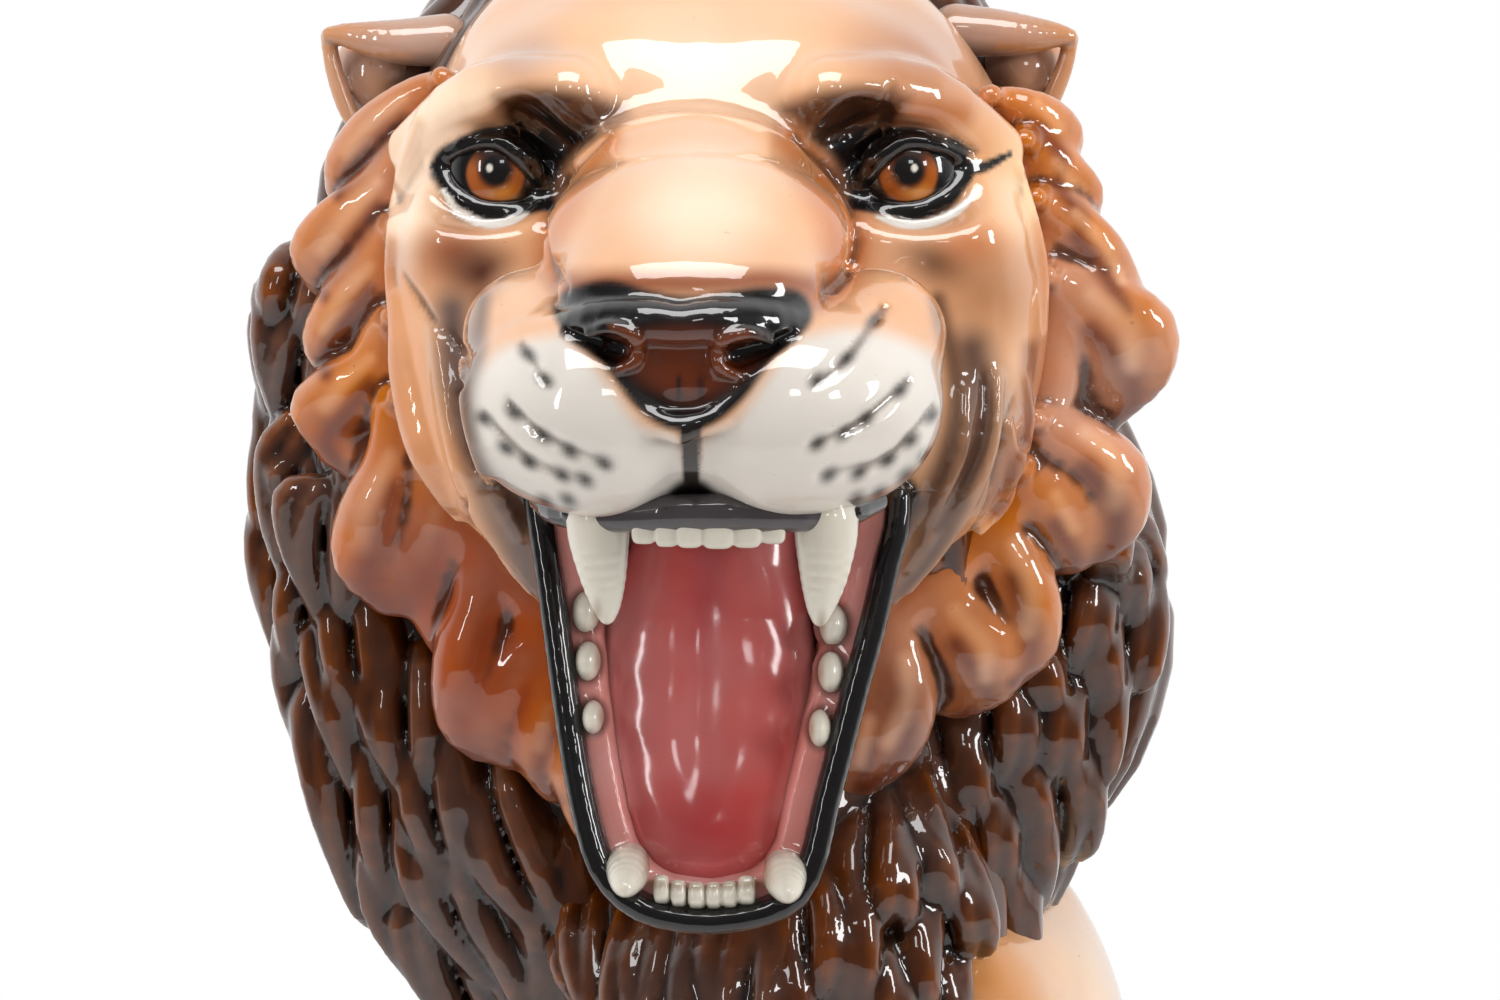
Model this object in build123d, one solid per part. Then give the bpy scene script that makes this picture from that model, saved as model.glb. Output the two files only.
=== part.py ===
"""Seated roaring lion in glazed ceramic, slip-cast in parts and luted together.

Millimetres, +Z up. The origin is the centre of the base slab's underside, and the lion looks along -Y.
Head pieces are drawn in a head frame: its origin lies midway between the eyes, with +Y towards the nape.
Trunk pieces are drawn in a body frame, turned about Z because the lion looks over its left shoulder:
its +X is the lion's left, and its +Y runs from the chest to the rump.
"""

import os
from math import cos, pi, radians, sin

from build123d import *

# Stance
EYE_HEIGHT = 780.0
HEAD_SIDE = -102.0
HEAD_FORWARD = -290.0
BODY_YAW = 22.0

# Ceramic and its joints
WALL = 9.0
SLAB_THICKNESS = 10.0
SLAB_GAP = 0.3
VENT_RADIUS = 12.0
VENT_SETBACK = 55.0
SOCKET_GAP = 0.2

# Trunk: (height, setback, half width, half depth) of each level section
TRUNK_SECTIONS = (
    (0.0, 0.0, 122.0, 114.0),
    (70.0, -2.0, 134.0, 126.0),
    (170.0, -20.0, 132.0, 126.0),
    (290.0, -66.0, 118.0, 116.0),
    (410.0, -126.0, 106.0, 108.0),
)
NECK_DROP = 264.0
NECK_SETBACK = -160.0
NECK_HALF_WIDTH = 97.0
NECK_HALF_DEPTH = 98.0

# Forelegs: (height, half width, half depth, setback from the leg's line)
LEG_SPREAD = 64.0
LEG_SETBACK = -214.0
LEG_SECTIONS = (
    (0.0, 40.0, 46.0, -12.0),
    (32.0, 39.0, 45.0, -8.0),
    (80.0, 34.0, 40.0, 0.0),
    (150.0, 34.0, 41.0, 1.0),
    (240.0, 38.0, 50.0, 5.0),
    (330.0, 42.0, 62.0, 13.0),
    (400.0, 43.0, 66.0, 22.0),
    (452.0, 34.0, 50.0, 40.0),
    (486.0, 16.0, 22.0, 56.0),
)
SHOULDER_RADII = (40.0, 66.0, 92.0)
SHOULDER_PLACE = (76.0, -146.0, 392.0)
SHOULDER_TILT = -14.0
PAW_RADII = (48.0, 58.0, 40.0)
PAW_FORWARD = 34.0
PAW_LIFT = 12.0
TOE_RADII = (14.0, 24.0, 21.0)
TOE_COUNT = 4
TOE_PITCH = 23.0
TOE_FORWARD = 74.0
TOE_ARC = 9.0

# Hind quarters
THIGH_RADII = (52.0, 122.0, 112.0)
THIGH_PLACE = (98.0, -28.0, 104.0)
THIGH_TILT = -16.0
HIND_PAW_RADII = (40.0, 86.0, 36.0)
HIND_PAW_PLACE = (126.0, -96.0, 12.0)
HIND_TOE_FORWARD = 70.0

# Tail lying round the lion's left haunch
TAIL_RADIUS = 15.0
TAIL_POINTS = ((0.0, 92.0), (28.0, 150.0), (122.0, 142.0), (176.0, 58.0), (178.0, -66.0))
TAIL_BEND = 52.0
TUFT_RADII = (25.0, 58.0, 24.0)
TUFT_OVERLAP = 34.0

# Mane collar: locks that hang round a hollow dome, cut flat in front where the face casting butts against it.
# (height over the eyes, half width, half depth) of each level section
BUTT_PLANE = 70.0
MANE_SETBACK = 140.0
MANE_LOCKS = 24
LOCK_VALLEY = 0.95
LOCK_BULGE = 0.5
MANE_SECTIONS = (
    (108.0, 30.0, 24.0),
    (86.0, 74.0, 60.0),
    (36.0, 122.0, 100.0),
    (-40.0, 154.0, 124.0),
    (-120.0, 164.0, 132.0),
    (-200.0, 156.0, 130.0),
    (-260.0, 128.0, 118.0),
    (-312.0, 98.0, 102.0),
    (-345.0, 80.0, 84.0),
)
MANE_WALL = 16.0
PASSAGE_RADIUS = 50.0

# Bib of long locks on the chest: (drop below the eyes, half width, half depth, setback)
BIB_LOCKS = 18
BIB_SECTIONS = (
    (222.0, 74.0, 90.0, -172.0),
    (256.0, 90.0, 114.0, -168.0),
    (300.0, 88.0, 124.0, -162.0),
    (350.0, 72.0, 126.0, -152.0),
    (410.0, 40.0, 112.0, -150.0),
)
BIB_BACK = -150.0

# Face casting
CRANIUM_RADII = (110.0, 100.0, 90.0)
CRANIUM_PLACE = (0.0, 70.0, 8.0)
CHEEK_RADII = (50.0, 58.0, 64.0)
CHEEK_PLACE = (66.0, 38.0, -52.0)
BROW_RADII = (36.0, 30.0, 22.0)
BROW_PLACE = (44.0, -2.0, 34.0)
BRIDGE_RADII = (50.0, 82.0, 32.0)
BRIDGE_PLACE = (0.0, -58.0, -14.0)
BRIDGE_TILT = 16.0
NOSE_RADII = (40.0, 22.0, 20.0)
NOSE_PLACE = (0.0, -114.0, -46.0)
PAD_RADII = (41.0, 50.0, 40.0)
PAD_PLACE = (36.0, -82.0, -70.0)
PALATE_RADII = (62.0, 84.0, 46.0)
PALATE_PLACE = (0.0, -30.0, -72.0)
HEAD_CAVITY = (86.0, 62.0, 66.0)
MOUTH_ROOF = -107.0
NOSTRIL_RADII = (10.0, 9.0, 7.0)
NOSTRIL_PLACE = (20.0, -134.0, -53.0)

# Eyes
EYE_RADIUS = 18.0
EYE_SPREAD = 70.0
EYE_DEPTH = 10.0
ORBIT_RADII = (26.0, 20.0, 17.0)
ORBIT_DEPTH = -14.0

# Ears: (way out from the root, half height, half thickness)
EAR_ROOT = (92.0, 96.0, 34.0)
EAR_TIP = (140.0, 98.0, 44.0)
EAR_SECTIONS = ((0.0, 28.0, 15.0), (0.5, 25.0, 13.0), (0.85, 15.0, 9.0), (1.0, 6.0, 5.0))
EAR_CUP = (26.0, 10.0, 15.0)

# Ruff of short locks round the cheeks
RUFF_CENTRE = -75.0
RUFF_LOCKS = 9
RUFF_FIRST = 50.0
RUFF_LAST = 162.0
RUFF_SWEEP = 17.0
RUFF_ROOT = (104.0, 118.0, 134.0)
RUFF_REACH = (153.0, 140.0, 168.0)
RUFF_DEPTH = 44.0
RUFF_TIP_DEPTH = 52.0
RUFF_SECTIONS = ((0.0, 19.0), (0.35, 23.0), (0.75, 17.0), (1.0, 5.0))

# Lower jaw: a scoop that hangs from the face casting
JAW_TOP_HALF = 66.0
JAW_LOW_HALF = 40.0
JAW_LOW = -228.0
CHIN_DROP = -257.0
CHIN_FRONT = -50.0
LIP_TOP_FRONT = -20.0
LIP_WIDTH = 9.0
LIP_ROUND = 3.5
THROAT_WALL = 14.0
GUM_RECESS = 15.0
TONGUE_RADII = (29.0, 22.0, 58.0)
TONGUE_PLACE = (0.0, -16.0, -169.0)
TONGUE_TILT = -11.0

# Teeth: (half width, half thickness, length) and where each root stands
UPPER_GUM_RADII = (47.0, 30.0)
UPPER_GUM_DEPTH = -84.0
UPPER_GUM_DROP = 6.0
UPPER_CANINE = (9.5, 8.0, 31.0)
UPPER_CANINE_PLACE = (35.0, -95.0)
UPPER_INCISOR = (4.1, 3.6, 8.0)
UPPER_INCISOR_PITCH = 8.4
INCISOR_COUNT = 6
LOWER_CANINE = (8.0, 8.5, 28.0)
LOWER_CANINE_PLACE = (25.0, -234.0)
LOWER_INCISOR = (2.7, 4.4, 14.0)
LOWER_INCISOR_PITCH = 5.8
LOWER_INCISOR_LEVEL = -238.0
MOLAR = (5.0, 7.4, 12.0)
MOLAR_COUNT = 3
MOLAR_TOP = -151.0
MOLAR_PITCH = 18.0
PEG_SHARE = 0.55
PEG_LENGTH = 4.0

HEAD = Pos(HEAD_SIDE, HEAD_FORWARD, EYE_HEIGHT)
BODY = Rot(0, 0, -BODY_YAW)
NECK_HEIGHT = EYE_HEIGHT - NECK_DROP
UPPER_BED = ("upper_gum",)
LOWER_BED = ("lower_gum", "lower_jaw")
FAR = 1000.0


def ellipsoid(place, radii, tilt=0.0):
    """An ellipsoid turned about X by tilt degrees, with its seam at the back."""
    return Pos(*place) * Rot(tilt, 0, 0) * scale(Rot(0, 0, 90) * Sphere(1), by=radii)


def mirrored(place, side):
    """A place on the lion's left carried over to the side asked for, 1 or -1."""
    return (side * place[0], *place[1:])


def below(level):
    """Everything under a level."""
    return Pos(0, 0, level - FAR / 2) * Box(2 * FAR, 2 * FAR, FAR)


def behind(depth):
    """Everything behind a depth of the head or body frame."""
    return Pos(0, depth + FAR / 2, 0) * Box(2 * FAR, FAR, 2 * FAR)


def ahead(depth):
    """Everything ahead of a depth of the head frame."""
    return behind(depth - FAR)


def fused(shapes):
    """The shapes as one solid."""
    first, *rest = shapes
    for shape in rest:
        first = first + shape
    return first


def level_section(height, setback, half_width, half_depth, side=0.0):
    """A level ellipse of the trunk or a limb."""
    return Pos(side, setback, height) * Ellipse(half_width, half_depth)


def egg_point(angle, half_width, up, down, share=1.0):
    """A point of an egg-shaped outline, by its angle from the top, as (across, height)."""
    rise = up if cos(angle) > 0 else down
    return share * half_width * sin(angle), share * rise * cos(angle)


def lobed_section(height, setback, half_width, half_depth, count):
    """A level section whose rim is a ring of hanging locks."""
    step = 2 * pi / count
    crest = LOCK_VALLEY * (1 + LOCK_BULGE * step / 2)

    def rim(turn, reach):
        return reach * half_width * sin(turn * step), reach * half_depth * cos(turn * step)

    arcs = [
        ThreePointArc(rim(n, LOCK_VALLEY), rim(n + 0.5, crest), rim(n + 1, LOCK_VALLEY)) for n in range(count)
    ]
    return Pos(0, setback, height) * make_face(arcs)


# Trunk


def trunk(inset):
    """The trunk from the floor to the neck, drawn in by inset."""
    top = (NECK_HEIGHT, NECK_SETBACK, NECK_HALF_WIDTH, NECK_HALF_DEPTH)
    sections = [
        level_section(height, setback, half_width - inset, half_depth - inset)
        for height, setback, half_width, half_depth in (*TRUNK_SECTIONS, top)
    ]
    return BODY * loft(sections)


def base_slab():
    """The slab that closes the trunk's underside, with the vent that lets gases out in the kiln."""
    _, _, half_width, half_depth = TRUNK_SECTIONS[0]
    inset = WALL + SLAB_GAP
    slab = extrude(Ellipse(half_width - inset, half_depth - inset), SLAB_THICKNESS)
    vent = Pos(0, VENT_SETBACK, SLAB_THICKNESS / 2) * Cylinder(VENT_RADIUS, 2 * SLAB_THICKNESS)
    return BODY * (slab - vent)


def toes(side, setback, forward):
    """A row of toes in front of a paw."""
    row = []
    for n in range(TOE_COUNT):
        off = n - (TOE_COUNT - 1) / 2
        place = (side + off * TOE_PITCH, setback - forward + TOE_ARC * off * off / 2, PAW_LIFT)
        row.append(ellipsoid(place, TOE_RADII))
    return row


def foreleg(side, trunk_solid):
    """A straight foreleg with its shoulder and paw, cut to lie against the trunk."""
    across = side * LEG_SPREAD
    sections = [
        level_section(height, LEG_SETBACK + setback, half_width, half_depth, across)
        for height, half_width, half_depth, setback in LEG_SECTIONS
    ]
    paw = ellipsoid((across, LEG_SETBACK - PAW_FORWARD, PAW_LIFT), PAW_RADII)
    shoulder = ellipsoid(mirrored(SHOULDER_PLACE, side), SHOULDER_RADII, SHOULDER_TILT)
    leg = fused([loft(sections), shoulder, paw, *toes(across, LEG_SETBACK, TOE_FORWARD)])
    middle = Pos(-side * FAR / 2, 0, 0) * Box(FAR, 2 * FAR, 2 * FAR)
    return BODY * (leg - below(0) - middle) - trunk_solid


def thigh(side):
    """One folded thigh, flat underneath."""
    return BODY * (ellipsoid(mirrored(THIGH_PLACE, side), THIGH_RADII, THIGH_TILT) - below(0))


def hind_foot(side):
    """A hind foot lying flat in front of its thigh."""
    place = mirrored(HIND_PAW_PLACE, side)
    foot = fused([ellipsoid(place, HIND_PAW_RADII), *toes(place[0], place[1], HIND_TOE_FORWARD)])
    return BODY * (foot - below(0))


def tail():
    """The tail, swept along the floor from the rump round the haunch."""
    path = FilletPolyline(*[(x, y, TAIL_RADIUS) for x, y in TAIL_POINTS], radius=TAIL_BEND)
    return BODY * sweep(Plane(path @ 0, z_dir=path % 0) * Circle(TAIL_RADIUS), path=path)


def tail_tuft():
    """The brush of hair that the tail's end is set into."""
    end_x, end_y = TAIL_POINTS[-1]
    brush = ellipsoid((end_x, end_y - TUFT_RADII[1] + TUFT_OVERLAP, TAIL_RADIUS), TUFT_RADII)
    return BODY * (brush - below(0))


# Mane


def mane_form(inset):
    """The collar as a fluted dome with a flat front, drawn in by inset all round."""
    top, bottom = MANE_SECTIONS[0][0], MANE_SECTIONS[-1][0]
    shrink = 1 - 2 * inset / (top - bottom)
    sections = []
    for height, half_width, half_depth in MANE_SECTIONS:
        level = top - inset - shrink * (top - height)
        sections.append(lobed_section(level, MANE_SETBACK, half_width - inset, half_depth - inset, MANE_LOCKS))
    return HEAD * (loft(sections) - ahead(BUTT_PLANE + inset))


def mane_passage():
    """The way from the collar's hollow into the face casting's."""
    return HEAD * Pos(0, BUTT_PLANE, 0) * Rot(90, 0, 0) * Cylinder(PASSAGE_RADIUS, 4 * MANE_WALL)


def chest_bib():
    """The long chest locks: a fluted skirt, kept on the front of the trunk."""
    skirt = loft([
        lobed_section(EYE_HEIGHT - drop, setback, half_width, half_depth, BIB_LOCKS)
        for drop, half_width, half_depth, setback in BIB_SECTIONS
    ])
    return BODY * (skirt - behind(BIB_BACK))


# Face


def face_body():
    """The face casting's outer form: skull, cheeks, brows, bridge, nose and muzzle pads."""
    forms = [ellipsoid(CRANIUM_PLACE, CRANIUM_RADII)]
    for side in (1, -1):
        forms.append(ellipsoid(mirrored(CHEEK_PLACE, side), CHEEK_RADII))
        forms.append(ellipsoid(mirrored(BROW_PLACE, side), BROW_RADII))
    forms.append(ellipsoid(BRIDGE_PLACE, BRIDGE_RADII, BRIDGE_TILT))
    forms.append(ellipsoid(NOSE_PLACE, NOSE_RADII))
    for side in (1, -1):
        forms.append(ellipsoid(mirrored(PAD_PLACE, side), PAD_RADII))
    forms.append(ellipsoid(PALATE_PLACE, PALATE_RADII))
    return HEAD * (fused(forms) - behind(BUTT_PLANE) - below(MOUTH_ROOF))


def eye(side, gap):
    """An eyeball, grown by gap for its socket."""
    radius = EYE_RADIUS + gap
    return HEAD * ellipsoid((side * EYE_SPREAD, EYE_DEPTH, 0), (radius, radius, radius))


def face_casting(body):
    """The hollow face with its orbits, eye sockets and nostrils."""
    face = body - HEAD * ellipsoid((0, BUTT_PLANE, 0), HEAD_CAVITY)
    for side in (1, -1):
        face = face - HEAD * ellipsoid((side * EYE_SPREAD, ORBIT_DEPTH, 0), ORBIT_RADII)
        face = face - eye(side, SOCKET_GAP)
        face = face - HEAD * ellipsoid(mirrored(NOSTRIL_PLACE, side), NOSTRIL_RADII)
    return face


def ear(side):
    """An ear laid out sideways, hollowed in front."""
    root, tip = Vector(*mirrored(EAR_ROOT, side)), Vector(*mirrored(EAR_TIP, side))
    sections = []
    for way, half_height, half_thickness in EAR_SECTIONS:
        plane = Plane(root + (tip - root) * way, x_dir=(0, 1, 0), z_dir=tip - root)
        sections.append(plane * Ellipse(half_thickness, half_height))
    middle = (root + tip) * 0.5
    cup = ellipsoid((middle.X, middle.Y - EAR_SECTIONS[0][2], middle.Z), EAR_CUP)
    return HEAD * (loft(sections) - cup)


def ruff_lock(angle, side):
    """One short lock, from the cheek's edge out to a drooping tip."""
    across, height = egg_point(radians(angle), *RUFF_ROOT)
    root = Vector(side * across, RUFF_DEPTH, RUFF_CENTRE + height)
    across, height = egg_point(radians(angle + RUFF_SWEEP), *RUFF_REACH)
    tip = Vector(side * across, RUFF_TIP_DEPTH, RUFF_CENTRE + height)
    sections = [
        Plane(root + (tip - root) * way, x_dir=(0, 1, 0), z_dir=tip - root) * Circle(radius)
        for way, radius in RUFF_SECTIONS
    ]
    return loft(sections)


def ruff(side, face, jaw):
    """One side's locks, butted against the mane collar and laid on the cheek and jaw."""
    step = (RUFF_LAST - RUFF_FIRST) / (RUFF_LOCKS - 1)
    locks = fused([ruff_lock(RUFF_FIRST + n * step, side) for n in range(RUFF_LOCKS)])
    return HEAD * (locks - behind(BUTT_PLANE)) - face - jaw


# Mouth


def jaw_half(height):
    """Half the jaw's width at a height of the head frame."""
    return JAW_LOW_HALF + (JAW_TOP_HALF - JAW_LOW_HALF) * (height - JAW_LOW) / (MOUTH_ROOF - JAW_LOW)


def jaw_outline(inset):
    """The jaw's U from the front, drawn in by inset and left open at the top where it is."""
    top = MOUTH_ROOF + (FAR / 100 if inset else 0)
    upper, lower, chin = jaw_half(top) - inset, JAW_LOW_HALF - inset, CHIN_DROP + inset
    rim = [
        Line((-lower, JAW_LOW), (-upper, top)),
        Line((-upper, top), (upper, top)),
        Line((upper, top), (lower, JAW_LOW)),
        ThreePointArc((lower, JAW_LOW), (0, chin), (-lower, JAW_LOW)),
    ]
    return make_face(rim)


def lip_front(height):
    """How far forward the lip's rim stands at a height of the head frame."""
    share = (height - CHIN_DROP) / (MOUTH_ROOF - CHIN_DROP)
    return CHIN_FRONT + share * (LIP_TOP_FRONT - CHIN_FRONT)


def jaw_prism(inset, back, recess=0.0):
    """The jaw's U, run from the leaning lip plane, less recess, to a depth at the back."""
    plane = Plane((0, CHIN_FRONT - FAR / 10, 0), x_dir=(1, 0, 0), z_dir=(0, -1, 0))
    block = extrude(plane * jaw_outline(inset), -(back - CHIN_FRONT + FAR / 10))
    low, high = CHIN_DROP - FAR / 10, MOUTH_ROOF + FAR / 10
    edge = [(lip_front(z) + recess, z) for z in (low, high)]
    front = Polyline(*edge, (edge[1][0] - FAR, high), (edge[0][0] - FAR, low), close=True)
    wedge = extrude(Plane.YZ * make_face(front), FAR, both=True)
    return block - wedge


def jaw_body():
    """The jaw as a full block."""
    return HEAD * jaw_prism(0, BUTT_PLANE)


def lower_jaw():
    """The jaw scoop, with a rounded lip."""
    scoop = jaw_prism(0, BUTT_PLANE) - jaw_prism(LIP_WIDTH, BUTT_PLANE - THROAT_WALL, -FAR / 10)
    rim = scoop.faces().filter_by(lambda f: f.normal_at().Y < -0.9).sort_by(Axis.Y)[0]
    return HEAD * fillet(rim.edges().filter_by(lambda e: e.center().Z < MOUTH_ROOF - 1), LIP_ROUND)


def tongue():
    """The tongue, its tip forward over the lower incisors."""
    return HEAD * (ellipsoid(TONGUE_PLACE, TONGUE_RADII, TONGUE_TILT) - above_mouth())


def above_mouth():
    """Everything above the mouth's roof, in the head frame."""
    return Pos(0, 0, MOUTH_ROOF + FAR / 2) * Box(2 * FAR, 2 * FAR, FAR)


def lower_gum(tongue_solid):
    """The gum that fills the scoop behind the lip, hollowed for the tongue."""
    bed = jaw_prism(LIP_WIDTH, BUTT_PLANE - THROAT_WALL, GUM_RECESS) - above_mouth()
    return HEAD * bed - tongue_solid


def upper_gum():
    """The gum under the muzzle that holds the upper front teeth."""
    plane = Pos(0, UPPER_GUM_DEPTH, MOUTH_ROOF - UPPER_GUM_DROP)
    return HEAD * extrude(plane * Ellipse(*UPPER_GUM_RADII), UPPER_GUM_DROP)


def tooth(half_width, half_thickness, length, seat, gap=0.0):
    """A tooth on its round peg. Seat is the plane of its neck, with Z towards the tip."""
    sections = [
        (0.0, 1.0),
        (0.35, 0.92),
        (0.7, 0.66),
        (0.93, 0.34),
        (1.0, 0.16),
    ]
    crown = loft(
        [Pos(0, 0, way * length) * Ellipse(share * half_width, share * half_thickness) for way, share in sections]
    )
    radius = PEG_SHARE * min(half_width, half_thickness) + gap
    peg = Pos(0, 0, -PEG_LENGTH / 2) * Cylinder(radius, PEG_LENGTH + gap)
    return seat * (crown + peg)


def upper_seat(across, depth):
    """A seat on the upper gum, its tooth pointing down."""
    neck = Plane((across, depth, MOUTH_ROOF - UPPER_GUM_DROP), x_dir=(1, 0, 0), z_dir=(0, 0, -1))
    return HEAD * neck.location


def lower_seat(across, height):
    """A seat on the lower gum, its tooth pointing out of the open mouth, square to the lip plane."""
    slope = Vector(0, lip_front(MOUTH_ROOF) - lip_front(CHIN_DROP), MOUTH_ROOF - CHIN_DROP)
    out = Vector(0, -slope.Z, slope.Y).normalized()
    neck = Plane((across, lip_front(height) + GUM_RECESS, height), x_dir=(1, 0, 0), z_dir=out)
    return HEAD * neck.location


def row(count, pitch):
    """Places of a centred row."""
    return [(n - (count - 1) / 2) * pitch for n in range(count)]


def upper_incisor_seats():
    """Seats along the front of the upper gum's curve."""
    half_width, half_depth = UPPER_GUM_RADII
    seats = []
    for across in row(INCISOR_COUNT, UPPER_INCISOR_PITCH):
        bow = (1 - (across / half_width) ** 2) ** 0.5
        seats.append(upper_seat(across, UPPER_GUM_DEPTH - half_depth * bow + 2 * UPPER_INCISOR[1]))
    return seats


def tooth_groups():
    """Every group of teeth by node name: the pieces it stands in, its tooth size and its seats."""
    groups = {
        "upper_incisors": (UPPER_BED, UPPER_INCISOR, upper_incisor_seats()),
        "lower_incisors": (
            LOWER_BED,
            LOWER_INCISOR,
            [lower_seat(x, LOWER_INCISOR_LEVEL) for x in row(INCISOR_COUNT, LOWER_INCISOR_PITCH)],
        ),
    }
    for name, side in (("left", 1), ("right", -1)):
        across, depth = UPPER_CANINE_PLACE
        groups[f"upper_canine_{name}"] = (UPPER_BED, UPPER_CANINE, [upper_seat(side * across, depth)])
        across, height = LOWER_CANINE_PLACE
        groups[f"lower_canine_{name}"] = (LOWER_BED, LOWER_CANINE, [lower_seat(side * across, height)])
        seats = []
        for n in range(MOLAR_COUNT):
            height = MOLAR_TOP - n * MOLAR_PITCH
            seats.append(lower_seat(side * (jaw_half(height) - LIP_WIDTH - MOLAR[0]), height))
        groups[f"molars_{name}"] = (LOWER_BED, MOLAR, seats)
    return groups


def build():
    """Every piece of the lion by node name."""
    trunk_solid = trunk(0)
    pieces = {"torso_shell": trunk_solid - trunk(WALL), "base_slab": base_slab()}
    collar = mane_form(0)
    face = face_body()
    jaw = jaw_body()
    tail_solid = tail()
    for name, side in (("left", 1), ("right", -1)):
        haunch = thigh(side) - trunk_solid
        pieces[f"haunch_{name}"] = haunch
        pieces[f"foreleg_{name}"] = foreleg(side, trunk_solid) - collar
        pieces[f"hind_foot_{name}"] = hind_foot(side) - haunch - trunk_solid
        pieces[f"ruff_{name}"] = ruff(side, face, jaw)
        pieces[f"ear_{name}"] = ear(side) - collar - face
        pieces[f"eye_{name}"] = eye(side, 0)
    pieces["tail"] = tail_solid - trunk_solid - pieces["haunch_left"] - pieces["hind_foot_left"]
    pieces["tail_tuft"] = tail_tuft() - tail_solid - pieces["haunch_left"] - pieces["hind_foot_left"]
    pieces["mane_collar"] = collar - trunk_solid - mane_form(MANE_WALL) - mane_passage()
    bib = chest_bib() - trunk_solid - collar - jaw
    for name in ("ruff_left", "ruff_right", "foreleg_left", "foreleg_right"):
        bib = bib - pieces[name]
    pieces["chest_bib"] = bib
    pieces["head_shell"] = face_casting(face)
    pieces["tongue"] = tongue()
    pieces["upper_gum"] = upper_gum()
    pieces["lower_gum"] = lower_gum(pieces["tongue"])
    pieces["lower_jaw"] = lower_jaw()
    for name, (beds, size, seats) in tooth_groups().items():
        pieces[name] = Compound([tooth(*size, seat) for seat in seats])
        for bed in beds:
            for seat in seats:
                pieces[bed] = pieces[bed] - tooth(*size, seat, SOCKET_GAP)
    return pieces


os.makedirs("parts", exist_ok=True)
for node, piece in build().items():
    export_step(piece, f"parts/{node}.step")
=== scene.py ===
"""Looks of a roaring lion in glazed ceramic: every casting is modelled as clay on a voxel grid,
meshed, airbrushed with underglaze colour and covered in clear gloss glaze.

Head pieces are worked in the head frame (millimetres from the point midway between the eyes, X to the
viewer's right, Y towards the nape, Z up), and trunk pieces in the body frame, which is turned under the head.
Places taken from the photograph are pixels of its 1500 x 1000 frame, carried to a depth of the head frame.
"""

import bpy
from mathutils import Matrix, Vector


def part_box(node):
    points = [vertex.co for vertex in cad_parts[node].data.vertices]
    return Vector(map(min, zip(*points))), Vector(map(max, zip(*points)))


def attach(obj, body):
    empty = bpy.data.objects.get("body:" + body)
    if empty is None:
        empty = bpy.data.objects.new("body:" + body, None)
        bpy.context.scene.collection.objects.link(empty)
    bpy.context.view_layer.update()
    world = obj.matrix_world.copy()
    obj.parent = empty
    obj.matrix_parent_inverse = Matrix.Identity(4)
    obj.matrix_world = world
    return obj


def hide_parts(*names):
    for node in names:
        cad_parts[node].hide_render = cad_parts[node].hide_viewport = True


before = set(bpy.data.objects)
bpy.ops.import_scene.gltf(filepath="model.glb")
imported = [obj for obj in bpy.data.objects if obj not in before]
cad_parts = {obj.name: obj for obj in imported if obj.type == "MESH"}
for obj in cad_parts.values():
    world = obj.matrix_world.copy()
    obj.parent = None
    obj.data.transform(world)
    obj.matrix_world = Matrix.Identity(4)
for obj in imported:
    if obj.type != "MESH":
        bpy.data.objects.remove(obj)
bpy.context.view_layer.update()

import copy
import functools
import math

import bpy
import numpy as np
import openvdb
from mathutils import Euler, Matrix, Vector

MM = 0.001
COARSER = 1.0
EYE_VOXEL = 0.5 * COARSER
TOOTH_VOXEL = 0.7 * COARSER
MOUTH_VOXEL = 0.9 * COARSER
FACE_VOXEL = 1.3 * COARSER
RUFF_VOXEL = 1.5 * COARSER
MANE_VOXEL = 2.0 * COARSER
BODY_VOXEL = 2.5 * COARSER
# Half width of the meshed band in voxels, and a distance that stands for nothing near
BAND = 4.0
FAR = 1.0e3

# Where the frame puts the head and how far the body turns under it
EYE_SET_BACK = 10.0
BODY_TURN = math.radians(-22.0)
EYE_CENTRES = {side: (np.array(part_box(node)[0]) + np.array(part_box(node)[1])) / 2 / MM
               for side, node in ((-1, "eye_right"), (1, "eye_left"))}
HEAD = (EYE_CENTRES[-1] + EYE_CENTRES[1]) / 2 - (0, EYE_SET_BACK, 0)

# Sides by the viewer's X, with the lion's own names for them
SIDES = (-1, 1)
SIDE_NAMES = {1: "left", -1: "right"}

# The photograph's camera: focal length and eye midpoint in pixels, range in millimetres
PHOTO_SIZE = (1500, 1000)
PHOTO_FOCAL = 5000.0
PHOTO_EYES = (702, 172)
RANGE = 1700.0
AZIMUTH = math.radians(2.0)
ELEVATION = math.radians(5.0)
SENSOR = 36.0


def camera_axes():
    """Unit vectors of the camera: right, up and forward, in the head frame."""
    level = math.cos(ELEVATION)
    forward = np.array((-math.sin(AZIMUTH) * level, math.cos(AZIMUTH) * level, -math.sin(ELEVATION)))
    right = np.array((math.cos(AZIMUTH), math.sin(AZIMUTH), 0.0))
    return right, np.cross(right, forward), forward


RIGHT, UP, FORWARD = camera_axes()
CENTRE_X, CENTRE_Y = PHOTO_SIZE[0] / 2, PHOTO_SIZE[1] / 2
EYES_ACROSS = RIGHT * (PHOTO_EYES[0] - CENTRE_X) - UP * (PHOTO_EYES[1] - CENTRE_Y)
CAMERA = -EYES_ACROSS * RANGE / PHOTO_FOCAL - FORWARD * RANGE


def seen(pixel, depth):
    """The head-frame point at a depth (Y) that the photograph shows at a pixel."""
    ray = RIGHT * (pixel[0] - CENTRE_X) - UP * (pixel[1] - CENTRE_Y) + FORWARD * PHOTO_FOCAL
    return CAMERA + np.multiply.outer((depth - CAMERA[1]) / ray[1], ray)


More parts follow.
